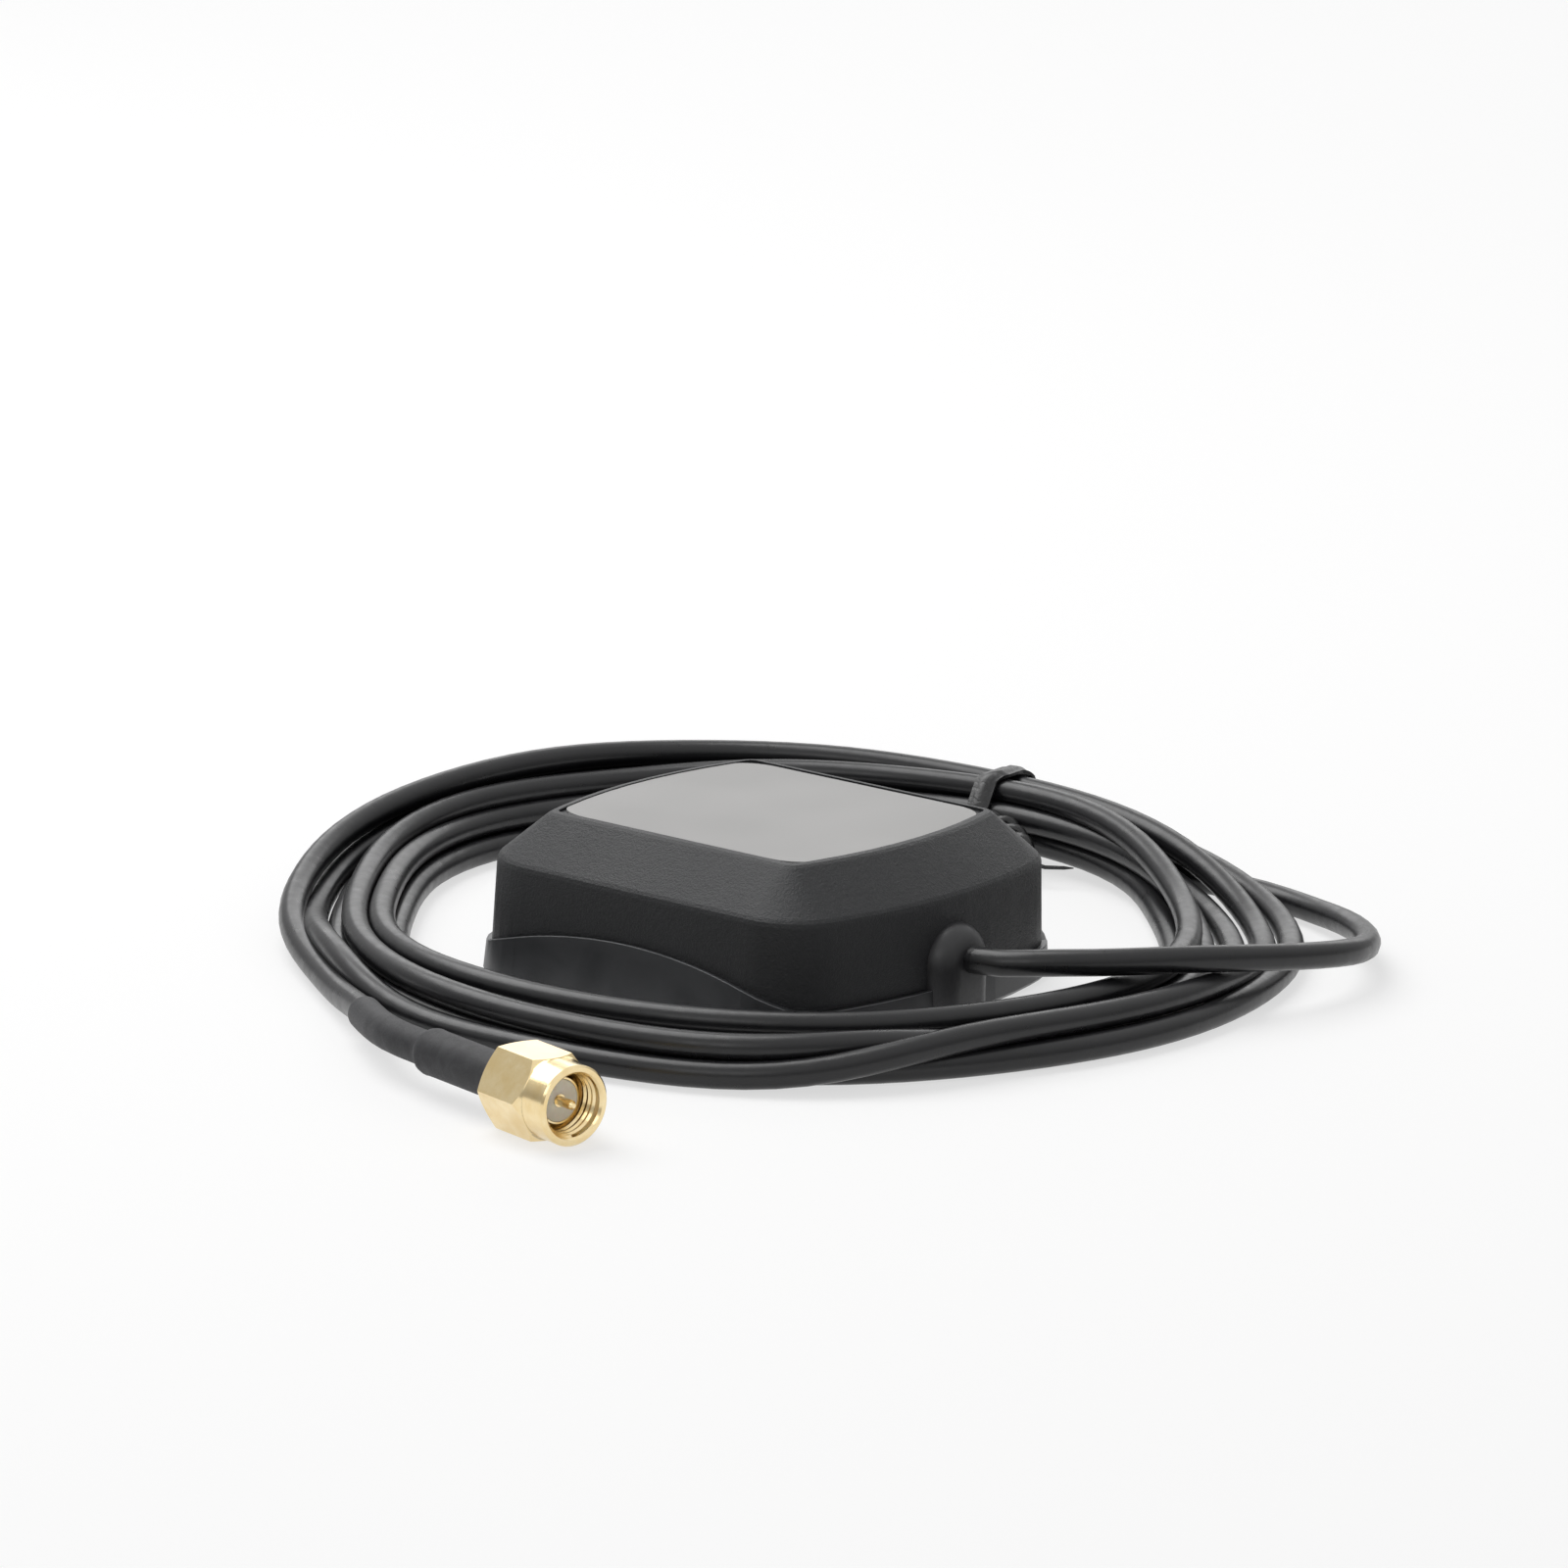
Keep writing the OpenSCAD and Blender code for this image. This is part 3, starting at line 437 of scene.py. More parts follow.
def tinplate():
    """Bright rolled tinplate of the shield can, with the straight lines of the rolls."""
    finish, shader = start_finish("tinplate", Metallic=1.0)
    rolled = add(finish, "TexNoise", {"Vector": in_millimetres(finish), "Scale": 1.0, "Detail": 3.0})
    lines = add(finish, "Mapping", {"Vector": add(finish, "TexCoord").outputs["Object"],
                                    "Scale": (40, 6000, 6000)}).outputs["Vector"]
    streaks = add(finish, "TexNoise", {"Vector": lines, "Scale": 1.0, "Detail": 2.0}).outputs["Fac"]
    wire(finish, shader, Base_Color=between(finish, rolled.outputs["Fac"], "b4b6b8", "c9cacb"),
         Roughness=spread(finish, streaks, 0.2, 0.36), Normal=relief(finish, streaks, 0.003))
    return finish


def moulded_epoxy():
    """Black moulding compound of a chip: matt, with a sandy mould face."""
    finish, shader = start_finish("moulded_epoxy", Specular_IOR_Level=0.4)
    where = in_millimetres(finish)
    sand = noise(finish, where, 0.08, 2.0)
    wire(finish, shader, Base_Color=between(finish, sand, "1a1a1b", "262627"),
         Roughness=spread(finish, sand, 0.55, 0.7), Normal=relief(finish, sand, 0.006))
    return finish


def gold_washed_lid():
    """Thin gold over a seam-welded filter lid: pale yellow, softly clouded."""
    finish, shader = start_finish("gold_washed_lid", Metallic=1.0)
    where = in_millimetres(finish)
    wash = noise(finish, where, 0.7, 2.0)
    wire(finish, shader, Base_Color=between(finish, wash, "c7ac6e", "dcc68d"),
         Roughness=spread(finish, wash, 0.26, 0.38), Normal=relief(finish, wash, 0.003))
    return finish


def gland_elastomer():
    """Moulded black thermoplastic elastomer of the gland: satin, with a faint orange peel."""
    finish, shader = start_finish("gland_elastomer", Specular_IOR_Level=0.5)
    where = in_millimetres(finish)
    peel = noise(finish, where, 0.45, 2.0)
    wire(finish, shader, Base_Color=between(finish, noise(finish, where, 5.0, 2.0), "2a2a2c", "343436"),
         Roughness=spread(finish, peel, 0.34, 0.42), Normal=relief(finish, peel, 0.014))
    return finish


def extruded_pvc():
    """Extruded black PVC jacket: semi-matt and smooth, with slight waves where the braid presses through."""
    finish, shader = start_finish("extruded_pvc", Specular_IOR_Level=0.45)
    where = in_millimetres(finish)
    waves = noise(finish, where, 1.4, 2.0)
    skin = noise(finish, where, 0.12, 2.0)
    wire(finish, shader, Base_Color=between(finish, noise(finish, where, 12, 2.0), "161618", "1d1d1f"),
         Roughness=spread(finish, waves, 0.27, 0.35),
         Normal=relief(finish, skin, 0.004, relief(finish, waves, 0.02)))
    return finish


def tie_vinyl():
    """Thin glossy black vinyl over the wire of the twist tie, creased where it was twisted."""
    finish, shader = start_finish("tie_vinyl", Specular_IOR_Level=0.5)
    where = in_millimetres(finish)
    creases = add(finish, "TexNoise", {"Vector": where, "Scale": 1.1, "Detail": 3.0,
                                       "Distortion": 1.2}).outputs["Fac"]
    wire(finish, shader, Base_Color=between(finish, creases, "141415", "1c1c1d"),
         Roughness=spread(finish, creases, 0.24, 0.4), Normal=relief(finish, creases, 0.06))
    return finish


def shrunk_polyolefin():
    """Heat-shrunk polyolefin sleeve: dark grey and matt, drawn into faint waves as it shrank."""
    finish, shader = start_finish("shrunk_polyolefin", Specular_IOR_Level=0.35)
    where = in_millimetres(finish)
    drawn = add(finish, "TexNoise", {"Vector": where, "Scale": 0.8, "Detail": 2.0,
                                     "Distortion": 0.6}).outputs["Fac"]
    skin = noise(finish, where, 0.15, 2.0)
    wire(finish, shader, Base_Color=between(finish, drawn, "2c2c2e", "363638"),
         Roughness=spread(finish, skin, 0.52, 0.66),
         Normal=relief(finish, skin, 0.006, relief(finish, drawn, 0.03)))
    return finish


def gold_plated_brass():
    """Gold plate on turned brass: pale warm yellow, bright, with the lathe's rings and a few dull patches.

    The real rings are some 0.05 mm apart and are drawn 0.1 mm apart, so that they show.
    """
    finish, shader = start_finish("gold_plated_brass", Metallic=1.0)
    along = in_millimetres(finish, turn=(0, 0, math.radians(13)))
    rings = add(finish, "TexWave", {"Vector": along, "Scale": 3.2, "Distortion": 1.2, "Detail": 2.0,
                                    "Detail Scale": 2.0}, bands_direction="X").outputs["Fac"]
    patches = noise(finish, along, 2.2, 4.0, 0.6)
    wire(finish, shader, Base_Color=between(finish, patches, "eed49d", "f6e2b5"),
         Roughness=spread(finish, patches, 0.12, 0.22), Normal=relief(finish, rings, 0.0022))
    return finish


def spring_bronze():
    """Bare phosphor bronze of the snap ring: reddish, oiled."""
    finish, shader = start_finish("spring_bronze", Metallic=1.0)
    where = in_millimetres(finish)
    oil = noise(finish, where, 0.8, 3.0)
    wire(finish, shader, Base_Color=between(finish, oil, "a97c4f", "c49a68"),
         Roughness=spread(finish, oil, 0.22, 0.38), Normal=relief(finish, oil, 0.004))
    return finish


def red_silicone():
    """Moulded silicone gasket of the plug: brick red, satin, a little dusty."""
    finish, shader = start_finish("red_silicone", Specular_IOR_Level=0.4)
    where = in_millimetres(finish)
    dust = noise(finish, where, 0.5, 3.0)
    wire(finish, shader, Base_Color=between(finish, dust, "8f3124", "a8422f"),
         Roughness=spread(finish, dust, 0.45, 0.6), Normal=relief(finish, dust, 0.01))
    return finish


def turned_ptfe():
    """Turned PTFE insulator: waxy white, with light that sinks in at its edges."""
    finish, shader = start_finish("turned_ptfe", Specular_IOR_Level=0.35, Subsurface_Weight=0.15,
                                  Subsurface_Scale=0.0006)
    where = in_millimetres(finish)
    wax = noise(finish, where, 0.9, 2.0)
    wire(finish, shader, Base_Color=between(finish, wax, "efe9da", "f6f1e6"),
         Roughness=spread(finish, wax, 0.42, 0.55), Normal=relief(finish, wax, 0.008))
    return finish


ABS_COVER = spark_eroded_abs()
ABS_BASE = satin_abs()
PVC = extruded_pvc()
GOLD = gold_plated_brass()
VINYL = tie_vinyl()
NODE_FINISHES = {
    "base_shell": ABS_BASE, "top_cover": ABS_COVER, "top_label": bare_label_film(), "seal_gasket": nitrile_rubber(),
    "base_screws": zinc_plated_steel(), "base_magnets": nickel_plated_magnet(), "circuit_board": solder_mask(),
    "adhesive_pad": acrylic_foam_tape(), "patch_ceramic": fired_ceramic(), "patch_electrode": fired_silver(),
    "feed_pin": tinned_brass(), "shield_can": tinplate(), "amplifier_chip": moulded_epoxy(),
    "saw_filter": gold_washed_lid(), "cable_gland": gland_elastomer(), "cable_board_end": PVC, "cable_lead": PVC,
    "cable_coil": PVC, "cable_tail": PVC, "twist_tie": VINYL, "heat_shrink_sleeve": shrunk_polyolefin(),
    "crimp_ferrule": GOLD, "cable_plug_end": PVC, "plug_body": GOLD, "coupling_nut": GOLD,
    "snap_ring": spring_bronze(), "plug_gasket": red_silicone(), "insulator": turned_ptfe(), "centre_pin": GOLD,
}
for node_name, node_finish in NODE_FINISHES.items():
    cad[node_name].data.materials.clear()
    cad[node_name].data.materials.append(node_finish)


# ---------------------------------------------------------------- pieces
def place(name, mesh, finish, body="antenna"):
    """Puts a finished mesh into the scene as a piece that rides on a CAD body."""
    obj = bpy.data.objects.new(name, mesh)
    scene.collection.objects.link(obj)
    mesh.materials.clear()
    mesh.materials.append(finish)
    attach(obj, body)
    return obj


def from_bmesh(name, bm, crease=30):
    """A smooth mesh whose edges stay sharp above an angle in degrees."""
    mesh = bpy.data.meshes.new(name)
    bm.to_mesh(mesh)
    bm.free()
    mesh.shade_smooth()
    mesh.set_sharp_from_angle(angle=math.radians(crease))
    return mesh


def mark_outer_edges(bm, crease, lift=0.05):
    """Gives full bevel weight to the sharp edges that stick out and can be touched from outside."""
    weight = bm.edges.layers.float.new("bevel_weight_edge")
    bm.normal_update()
    skin = BVHTree.FromBMesh(bm)
    for edge in bm.edges:
        if len(edge.link_faces) == 2 and edge.is_convex and edge.calc_face_angle(0) > math.radians(crease):
            away = (edge.link_faces[0].normal + edge.link_faces[1].normal).normalized()
            middle = (edge.verts[0].co + edge.verts[1].co) / 2
            if skin.ray_cast(middle + away * lift * MM, away)[0] is None:
                edge[weight] = 1


def soften(obj, width):
    """Breaks a piece's outer edges, as moulding and tumbling do."""
    bevel = obj.modifiers.new("broken_edges", "BEVEL")
    bevel.width = width * MM
    bevel.segments = 2
    bevel.limit_method = "WEIGHT"
    bevel.use_clamp_overlap = True
    bevel.harden_normals = True


SAME_POINT = 1e-7
SAME_PLANE = math.radians(0.2)


def joined_copy(node):
    """A CAD node's mesh as one closed skin: its loose triangles joined and its flat faces made whole."""
    bm = bmesh.new()
    bm.from_mesh(cad[node].data)
    bmesh.ops.remove_doubles(bm, verts=bm.verts, dist=SAME_POINT)
    bmesh.ops.dissolve_limit(bm, angle_limit=SAME_PLANE, verts=bm.verts, edges=bm.edges)
    return bm


def dressed(name, node, body="antenna", crease=30, edge=0.0, rework=None):
    """A smoother copy of a CAD node that stands for it, with its edges broken by a width in millimetres."""
    least_edge_angle = 18
    bm = joined_copy(node)
    if rework:
        rework(bm)
    if edge:
        mark_outer_edges(bm, max(crease, least_edge_angle))
    obj = place(name, from_bmesh(name, bm, crease), NODE_FINISHES[node], body)
    if edge:
        soften(obj, edge)
    obj.modifiers.new("flat_faces", "WEIGHTED_NORMAL").keep_sharp = True
    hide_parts(node)
    return obj


def drawn_tube(name, points, radius, radii=None, sides=16, capped=True):
    """A round tube along points in millimetres, as a curve of one spline."""
    curve = bpy.data.curves.new(name, "CURVE")
    curve.dimensions = "3D"
    curve.bevel_depth = radius * MM
    curve.bevel_resolution = sides // 2 - 2
    curve.use_fill_caps = capped
    spline = curve.splines.new("POLY")
    spline.points.add(len(points) - 1)
    for i, point in enumerate(points):
        spline.points[i].co = (point[0] * MM, point[1] * MM, point[2] * MM, 1)
        spline.points[i].radius = 1 if radii is None else radii[i] / radius
    spline.use_smooth = True
    obj = bpy.data.objects.new(name, curve)
    scene.collection.objects.link(obj)
    return obj


def as_mesh(obj):
    """Turns a curve into a mesh and takes the curve out of the scene."""
    bpy.context.view_layer.update()
    mesh = bpy.data.meshes.new_from_object(obj.evaluated_get(bpy.context.evaluated_depsgraph_get()))
    bpy.data.objects.remove(obj)
    bm = bmesh.new()
    bm.from_mesh(mesh)
    bmesh.ops.remove_doubles(bm, verts=bm.verts, dist=SAME_POINT)
    bmesh.ops.recalc_face_normals(bm, faces=bm.faces)
    bm.to_mesh(mesh)
    bm.free()
    mesh.shade_smooth()
    return mesh


# Housing, label and gland, in millimetres. The gland goes out from the end wall, and from its foot up to its top.
LABEL_CORNER = 3.2
LABEL_CORNER_REACH = 1.6
SKIRT_STEP = 0.24
GLAND_WIDTH = 8.6
GLAND_TOP = 9.7
GLAND_FOOT = 0.5
GLAND_ROUNDING = 2.6
END_WALL = 23.2
GLAND_FACE = 26.0


def round_corners(bm):
    """Rounds the corners of the label film, which is cut a little rounder than its recess."""
    for side_x in (-1, 1):
        for side_y in (-1, 1):
            for level in {round(v.co.z, 6) for v in bm.verts}:
                row = [v for v in bm.verts if abs(v.co.z - level) < 1e-6]
                tip = max(row, key=lambda v: v.co.x * side_x + v.co.y * side_y)
                near = [v for v in row if (v.co - tip.co).length < LABEL_CORNER_REACH * MM]
                bmesh.ops.pointmerge(bm, verts=near, merge_co=tip.co.copy())
    bm.normal_update()
    corners = [e for e in bm.edges if abs(e.verts[0].co.z - e.verts[1].co.z) > 0.1 * MM
               and e.calc_face_angle(0) > math.radians(40)]
    bmesh.ops.bevel(bm, geom=corners, offset=LABEL_CORNER * MM, segments=10, profile=0.5, affect="EDGES",
                    material=-1)


def proud_skirt(bm):
    """Sets the base's outer skin a little proud of the cover, so that the arched seam shows as a lit ledge."""
    bm.normal_update()
    skin = BVHTree.FromBMesh(bm)
    outer = []
    for vert in bm.verts:
        away = Vector((vert.co.x, vert.co.y, 0)).normalized()
        if skin.ray_cast(vert.co + away * 0.02 * MM, away)[0] is None:
            outer.append((vert, away))
    for vert, away in outer:
        vert.co += away * SKIRT_STEP * MM


def domed_gland():
    """The gland's boss: an arch on the end wall, its front rolled over into a dome round the cable."""
    bm = bmesh.new()
    rings = []
    steps, sweep = 9, 20
    middle = GLAND_TOP - GLAND_WIDTH / 2
    for k in range(steps + 1):
        f = math.pi / 2 * k / steps
        inset = GLAND_ROUNDING * (1 - math.cos(f))
        x = END_WALL + (GLAND_FACE - END_WALL) * math.sin(f)
        half = GLAND_WIDTH / 2 - inset
        arch = [(-half * math.cos(math.pi * i / sweep), middle + half * math.sin(math.pi * i / sweep))
                for i in range(sweep + 1)]
        outline = [(-half, GLAND_FOOT)] + arch + [(half, GLAND_FOOT)]
        rings.append([bm.verts.new((x * MM, y * MM, z * MM)) for y, z in outline])
    for this, following in zip(rings, rings[1:]):
        for i in range(len(this) - 1):
            bm.faces.new((this[i], this[i + 1], following[i + 1], following[i]))
    bm.faces.new(rings[-1])
    bm.faces.new(rings[0][::-1])
    bm.faces.new([r[0] for r in rings] + [r[-1] for r in rings[::-1]])
    bmesh.ops.recalc_face_normals(bm, faces=bm.faces)
    obj = place("gland", from_bmesh("gland", bm, 50), NODE_FINISHES["cable_gland"])
    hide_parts("cable_gland")
    return obj


# Housing and gland. The shells are the source's own, with their facets smoothed away.
cover = dressed("cover", "top_cover", crease=12, edge=0.3)
base = dressed("base", "base_shell", crease=12, edge=0.22, rework=proud_skirt)
label = dressed("label", "top_label", crease=34, rework=round_corners)
gland = domed_gland()

# The cable itself, one run from the gland to the plug.
cable = drawn_tube("cable", cable_path, CABLE_D / 2, sides=16)
cable.data.materials.append(PVC)
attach(cable, "antenna")
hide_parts("cable_lead", "cable_coil", "cable_tail")

# Plug: its own frame has the mouth at the origin and the axis along -Z towards the cable.
NUT_FLATS = 8.0
PLUG_TURN = math.radians(-13)
PLUG_MOUTH = Vector((26.8, -62.9, NUT_FLATS / 2)) * MM
PLUG = (Matrix.Translation(PLUG_MOUTH) @ Matrix.Rotation(PLUG_TURN, 4, "Z")
        @ Matrix.Rotation(math.radians(90), 4, "Y"))
# The 1/4-36 thread: radii of its crests and roots, its pitch, and how deep it goes.
THREAD_CREST = 5.76 / 2
THREAD_ROOT = 3.095
THREAD_PITCH = 25.4 / 36
THREAD_END = 5.0
THREAD_TURNS = 6.1
THREAD_START = -0.55
STEPS_A_TURN = 40
FERRULE_END = -22.3


def on_plug(z, x=0.0, y=0.0):
    """A point in the plug's own frame, in millimetres, as a point in the model."""
    return PLUG @ (Vector((x, y, z)) * MM)


def cut_thread(bm):
    """Opens the nut's bore to the roots of its thread and winds the ridge of the thread inside it."""
    to_plug = PLUG.inverted()
    for vert in bm.verts:
        at = to_plug @ vert.co / MM
        out = math.hypot(at.x, at.y)
        if abs(out - THREAD_CREST) < 0.02 and at.z > -THREAD_END - 0.01:
            wider = THREAD_ROOT / out
            vert.co = on_plug(at.z, at.x * wider, at.y * wider)
    bmesh.ops.dissolve_degenerate(bm, edges=bm.edges, dist=1e-6)
    steps = round(THREAD_TURNS * STEPS_A_TURN)
    root, crest = THREAD_ROOT + 0.02, THREAD_CREST + 0.02
    profile = [(root, 0.30), (crest, 0.06), (crest, -0.06), (root, -0.30)]
    ridge = bmesh.new()
    corners = [ridge.verts.new((r * MM, 0, (z + THREAD_START) * MM)) for r, z in profile]
    start = ridge.faces.new(corners)
    bmesh.ops.spin(ridge, geom=[start] + list(start.edges) + corners, cent=(0, 0, 0), axis=(0, 0, 1),
                   dvec=(0, 0, -THREAD_PITCH * THREAD_TURNS / steps * MM), angle=-2 * math.pi * THREAD_TURNS,
                   steps=steps, use_merge=False, use_duplicate=False)
    bmesh.ops.recalc_face_normals(ridge, faces=ridge.faces)
    bmesh.ops.transform(ridge, matrix=PLUG, verts=ridge.verts)
    wound = bpy.data.meshes.new("wound_ridge")
    ridge.to_mesh(wound)
    ridge.free()
    bm.from_mesh(wound)
    bpy.data.meshes.remove(wound)


def cut_ferrule(bm):
    """The crimp sleeve ends where the step shows in the heat-shrink over it."""
    to_plug = PLUG.inverted()
    for vert in bm.verts:
        at = to_plug @ vert.co / MM
        if at.z < FERRULE_END - 0.2:
            vert.co = on_plug(FERRULE_END, at.x, at.y)


nut = dressed("nut", "coupling_nut", body="coupling_nut", crease=24, edge=0.07, rework=cut_thread)
plug = dressed("plug", "plug_body", crease=30, edge=0.03)
pin = dressed("pin", "centre_pin", crease=30)
disc = dressed("disc", "insulator", crease=30, edge=0.03)
ferrule = dressed("ferrule", "crimp_ferrule", crease=30, rework=cut_ferrule)


# The sleeve: from behind the nut to where the plug's axis ends, then along the cable's last points.
SLEEVE_START = 10.15
SLEEVE_STRAIGHT_END = 24.4
SLEEVE_ON_CABLE_POINTS = 7
SLEEVE_WALL = 0.33
FERRULE_D = 3.96
STEP_AT, STEP_LENGTH = 12.3, 1.3


def shrink_sleeve():
    """The sleeve grips the ferrule, steps down behind it and ends on the cable with a slightly drawn-in rim."""
    straight = [on_plug(-s) / MM for s in np.arange(SLEEVE_START, SLEEVE_STRAIGHT_END, 1.2)]
    back = [Vector(p) for p in cable_path[::-1][:SLEEVE_ON_CABLE_POINTS]]
    points = evenly([tuple(p) for p in straight + back], 0.45)
    run = np.arange(len(points)) * run_of(points) / (len(points) - 1)
    over_ferrule, on_cable = FERRULE_D / 2 + SLEEVE_WALL, CABLE_D / 2 + SLEEVE_WALL
    step = np.clip((run - STEP_AT) / STEP_LENGTH, 0, 1)
    step = step * step * (3 - 2 * step)
    radii = over_ferrule + (on_cable - over_ferrule) * step
    # The ferrule's edge stands out under the sleeve, just before the step.
    radii = radii + 0.05 * np.exp(-((run - 12.2) / 0.4) ** 2)
    rim = np.minimum(run, run[-1] - run)
    radii = radii - 0.1 * np.exp(-(rim / 0.25) ** 2)
    tube = drawn_tube("sleeve", points, over_ferrule, radii, sides=32, capped=False)
    obj = place("sleeve", as_mesh(tube), NODE_FINISHES["heat_shrink_sleeve"])
    wall = obj.modifiers.new("wall", "SOLIDIFY")
    wall.thickness = 0.25 * MM
    wall.offset = -1
    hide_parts("heat_shrink_sleeve")
    return obj


sleeve = shrink_sleeve()


# ---------------------------------------------------------------- twist tie
# The tie's place round the ring, its lean along it, and the ribbon's clearance, width, thickness and wire, in
# degrees and millimetres.
TIE_ANGLE = 100.9
TIE_LEAN = 1.3
TIE_CLEARANCE = 0.45
TIE_WIDTH = 2.5
TIE_THICKNESS = 0.45
TIE_WIRE = 0.5
TIE_LOWEST = 0.65
BUNDLE_INNER, BUNDLE_OUTER = 30, 57
# The twisted ends run along the ring's inner side, and the wire's bare tip goes on from the first.
TAIL_ROUTE = [(-13.0, 51.8, 5.0), (-10.2, 51.2, 5.2), (-7.6, 51.0, 4.9), (-5.4, 50.0, 4.2), (-3.6, 48.7, 3.6)]
TAIL_TURNS = 2.6
TAIL_APART = 0.62
TIP_ROUTE = [(-2.6, 48.3, 2.6), (-1.2, 48.9, 2.0), (1.4, 50.9, 2.0)]


def bundle_at(angle):
    """Where the cable's turns cross a plane through the ring's middle, as (radius, height)."""
    a = math.radians(angle)
    offset = cable_path[:, :2] - np.array(RING_MIDDLE)
    out = offset @ np.array([math.cos(a), math.sin(a)])
    side = offset @ np.array([-math.sin(a), math.cos(a)])
    cross = np.nonzero((side[:-1] * side[1:] <= 0) & (out[:-1] > BUNDLE_INNER))[0]
    places = []
    for i in cross:
        t = side[i] / (side[i] - side[i + 1])
        before, after = cable_path[i, 2], cable_path[i + 1, 2]
        places.append((out[i] + t * (out[i + 1] - out[i]), before + t * (after - before)))
    return [p for p in places if p[0] < BUNDLE_OUTER]


def wrap_path(angle, lean, lift, count=60):
    """A closed loop round the bundle, leaning along the ring, as (point, angle, outward direction)."""
    places = bundle_at(angle)
    loop = []
    for k in range(count):
        f = 2 * math.pi * k / count
        out, up = math.cos(f), math.sin(f)
        farthest = max(places, key=lambda p: p[0] * out + p[1] * up)
        r = farthest[0] + (CABLE_D / 2 + lift) * out
        z = max(farthest[1] + (CABLE_D / 2 + lift) * up, TIE_LOWEST)
        at = angle - lean * out
        loop.append((Vector(round_ring(at, r, z)), at, Vector((out, up))))
    return loop


def ribbon(bm, loop, width, thick, core):
    """A flat plastic ribbon with a wire ridge down its middle, closed on itself."""
    half = width / 2
    rise = thick / 2 + core * 0.4
    section = [(-half, -thick / 2), (half, -thick / 2), (half, thick / 4), (core * 1.4, thick / 2),
               (core * 0.6, rise), (-core * 0.6, rise), (-core * 1.4, thick / 2), (-half, thick / 4)]
    rings = []
    for point, at, out in loop:
        a = math.radians(at)
        along = Vector((-math.sin(a), math.cos(a), 0))
        outward = Vector((math.cos(a) * out.x, math.sin(a) * out.x, out.y))
        rings.append([bm.verts.new((point + along * u + outward * v) * MM) for u, v in section])
    for i in range(len(rings)):
        this, following = rings[i], rings[(i + 1) % len(rings)]
        for k in range(len(section)):
            next_k = (k + 1) % len(section)
            bm.faces.new((this[k], this[next_k], following[next_k], following[k]))


def twisted_tail(points, turns, apart):
    """The two ends of the tie, twisted round each other."""
    points = evenly(points, 0.35)
    runs = [[], []]
    for i in range(len(points)):
        before, after = points[max(i - 1, 0)], points[min(i + 1, len(points) - 1)]
        along = Vector(after - before).normalized()
        side = along.cross(Vector((0, 0, 1))).normalized()
        up = side.cross(along)
        f = 2 * math.pi * turns * i / (len(points) - 1)
        for k in (0, 1):
            phase = f + math.pi * k
            runs[k].append(Vector(points[i]) + (side * math.cos(phase) + up * math.sin(phase)) * apart)
    return runs


def twist_tie():
    """The tie's wrap round the bundle, its two twisted ends, and the tip of the wire."""
    bm = bmesh.new()
    ribbon(bm, wrap_path(TIE_ANGLE, TIE_LEAN, TIE_CLEARANCE), TIE_WIDTH, TIE_THICKNESS, TIE_WIRE)
    bmesh.ops.recalc_face_normals(bm, faces=bm.faces)
    band = place("tie_band", from_bmesh("tie_band", bm, 50), VINYL)
    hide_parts("twist_tie")
    made = [band]
    first, second = twisted_tail(TAIL_ROUTE, TAIL_TURNS, TAIL_APART)
    for name, run, radius in (("tie_end_left", first, 0.62), ("tie_end_right", second, 0.6)):
        obj = place(name, as_mesh(drawn_tube(name, run, radius, sides=12)), VINYL)
        made.append(obj)
    tip = evenly([tuple(first[-1] + Vector((-0.3, 0.3, 0.1)))] + TIP_ROUTE, 0.5)
    taper = np.interp(np.arange(len(tip)), [0, len(tip) - 3, len(tip) - 1], [0.26, 0.2, 0.06])
    wire_end = place("tie_wire", as_mesh(drawn_tube("tie_wire", tip, 0.26, taper, sides=8)), VINYL)
    made.append(wire_end)
    return made


tie_pieces = twist_tie()


# ---------------------------------------------------------------- studio
TABLE_HALF_SIZE = 6
TABLE_HEIGHT = -0.2 * MM
TABLE_GLOW_SHARE = 0.62
TABLE_GLOW = 1.05


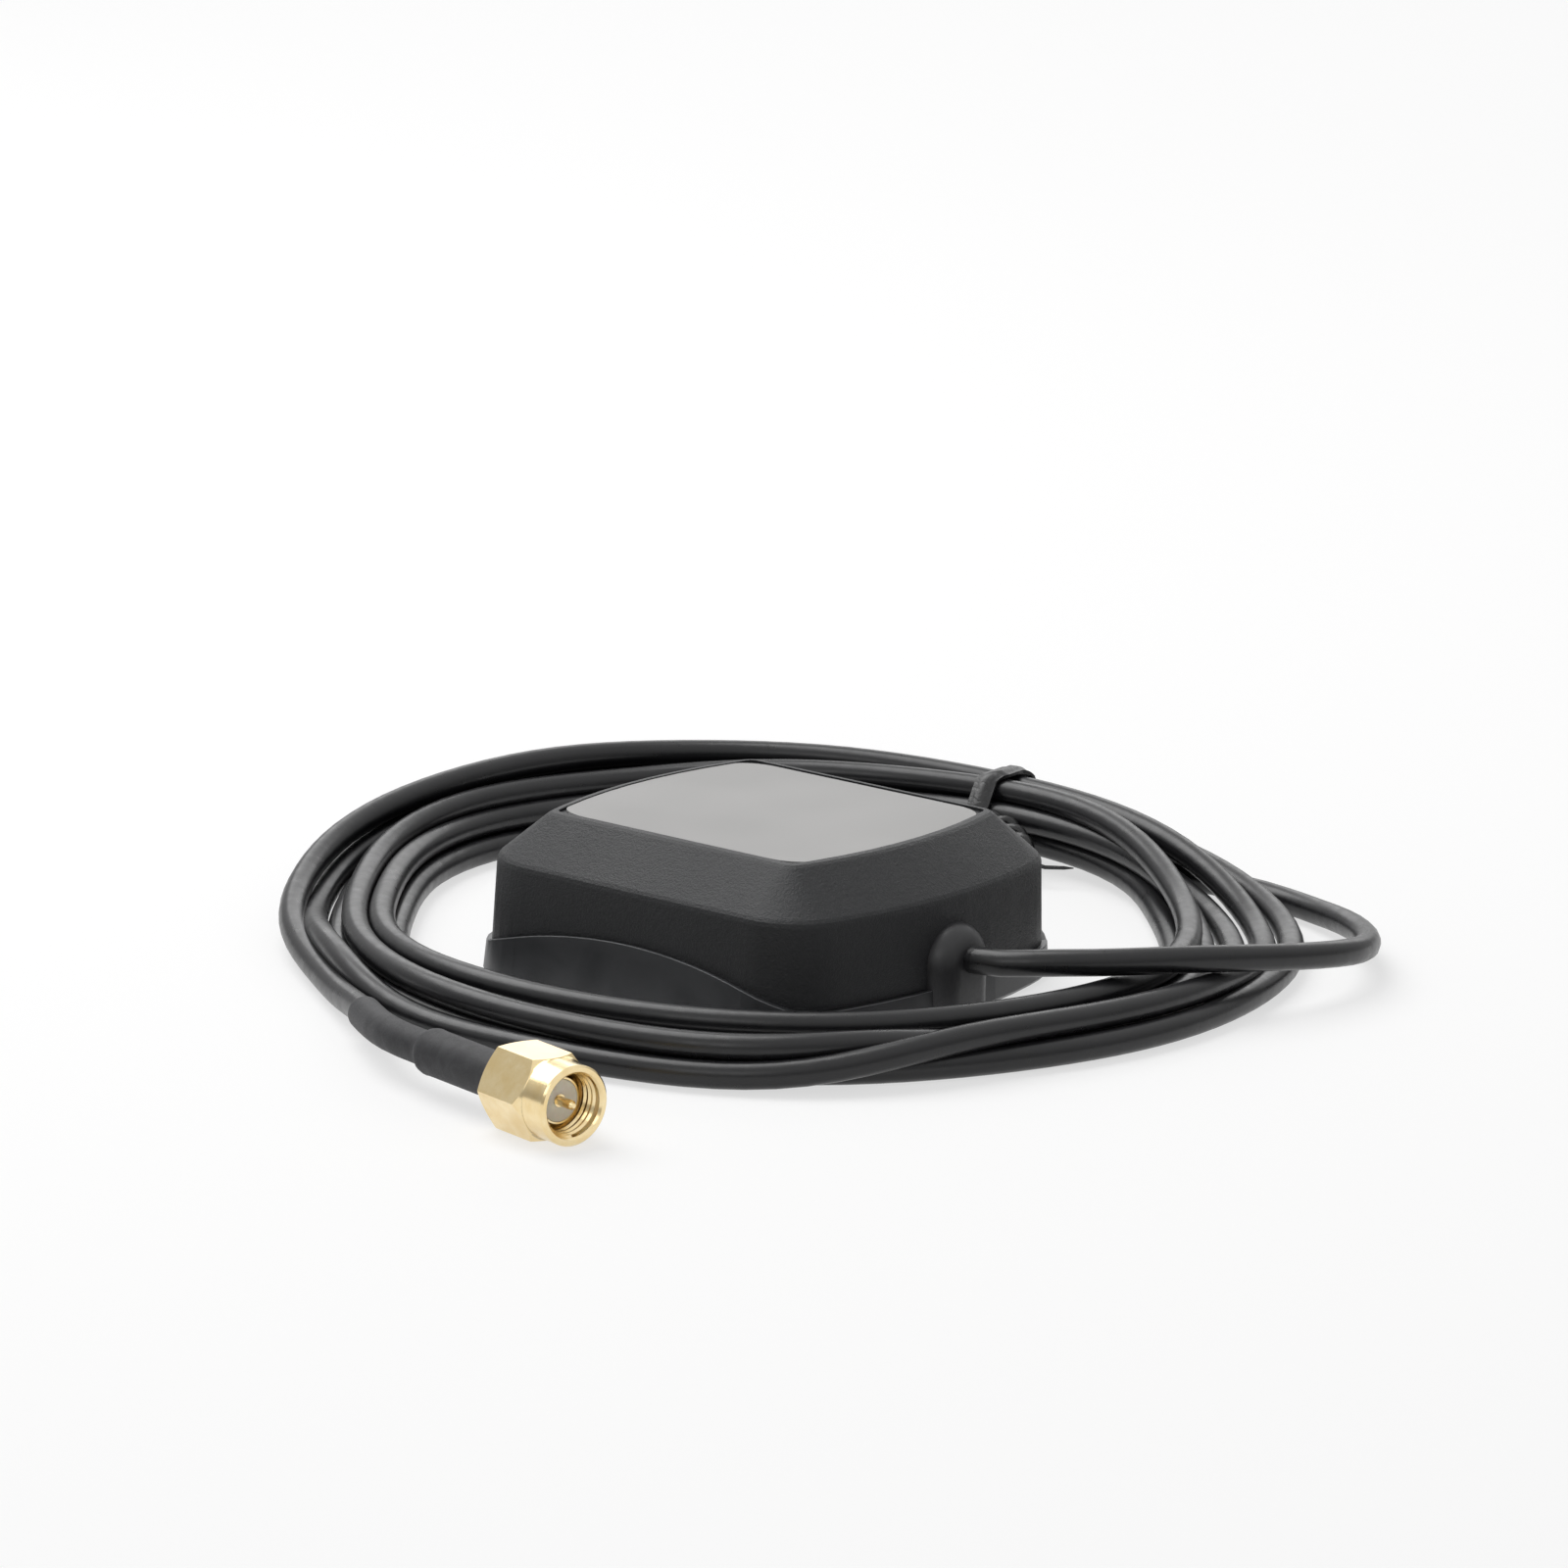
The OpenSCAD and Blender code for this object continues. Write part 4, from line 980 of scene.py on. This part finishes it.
def studio_floor():
    """White table, clear from below. It is partly lifted to white, so that the object's shadow stays on it."""
    bm = bmesh.new()
    bmesh.ops.create_grid(bm, x_segments=1, y_segments=1, size=TABLE_HALF_SIZE,
                          matrix=Matrix.Translation((0, 0, TABLE_HEIGHT)))
    mesh = bpy.data.meshes.new("table")
    bm.to_mesh(mesh)
    bm.free()
    table = bpy.data.objects.new("table", mesh)
    scene.collection.objects.link(table)
    finish = bpy.data.materials.new("white_table")
    finish.use_nodes = True
    shader = finish.node_tree.nodes["Principled BSDF"]
    shader.inputs["Base Color"].default_value = (0.9, 0.9, 0.9, 1)
    shader.inputs["Roughness"].default_value = 0.8
    shader.inputs["Specular IOR Level"].default_value = 0.1
    glow = add(finish, "Emission", {"Color": (1, 1, 1, 1), "Strength": TABLE_GLOW})
    path = add(finish, "LightPath")
    seen = add(finish, "Math", {0: path.outputs["Is Camera Ray"], 1: path.outputs["Is Glossy Ray"]},
               operation="MAXIMUM")
    share = add(finish, "Math", {0: seen.outputs["Value"], 1: TABLE_GLOW_SHARE}, operation="MULTIPLY")
    mix = add(finish, "MixShader", {0: share.outputs["Value"], 1: shader.outputs["BSDF"],
                                    2: glow.outputs["Emission"]})
    clear = add(finish, "BsdfTransparent")
    under = add(finish, "NewGeometry").outputs["Backfacing"]
    sided = add(finish, "MixShader", {0: under, 1: mix.outputs["Shader"], 2: clear.outputs["BSDF"]})
    surface = finish.node_tree.nodes["Material Output"].inputs["Surface"]
    finish.node_tree.links.new(sided.outputs["Shader"], surface)
    mesh.materials.append(finish)


def studio_world():
    """White behind the object, a soft grey dome as light, and a dome darker near the horizon in reflections."""
    world = bpy.data.worlds.new("studio")
    scene.world = world
    world.use_nodes = True
    path = add(world, "LightPath")
    through = add(world, "Math", {0: path.outputs["Is Camera Ray"], 1: path.outputs["Is Transmission Ray"]},
                  operation="MAXIMUM").outputs["Value"]
    height = add(world, "SeparateXYZ", {"Vector": add(world, "TexCoord").outputs["Generated"]}).outputs["Z"]
    dome = add(world, "MapRange", {"Value": height, "From Min": 0.15, "From Max": 0.75, "To Min": 0.42,
                                   "To Max": 0.95}).outputs["Result"]
    light = add(world, "Mix", {"Factor": path.outputs["Is Glossy Ray"], "A": 0.3, "B": dome}).outputs["Result"]
    strength = add(world, "Mix", {"Factor": through, "A": light, "B": 1.0}).outputs["Result"]
    sky = world.node_tree.nodes["Background"]
    world.node_tree.links.new(strength, sky.inputs["Strength"])
    sky.inputs["Color"].default_value = (1, 1, 1, 1)


def softbox(name, spot, aim, size, power):
    """A rectangular area light at a spot, turned to its aim. Its size is in metres and its power in watts."""
    data = bpy.data.lights.new(name, "AREA")
    data.shape = "RECTANGLE"
    data.size, data.size_y = size
    data.energy = power
    lamp = bpy.data.objects.new(name, data)
    turn = (Vector(aim) - Vector(spot)).to_track_quat("-Z", "Y")
    lamp.matrix_world = Matrix.Translation(spot) @ turn.to_matrix().to_4x4()
    scene.collection.objects.link(lamp)


studio_floor()
studio_world()
softbox("overhead_box", (-0.36, -0.02, 0.66), (0, 0, 0), (0.6, 0.7), 4.7)
softbox("back_box", (-0.5, 0.75, 0.34), (0, 0, 0.01), (0.8, 0.34), 1.2)
softbox("front_box", (0.3, -0.9, 0.55), (0, 0, 0.01), (0.5, 0.4), 0.8)
scene.view_settings.view_transform = "Standard"
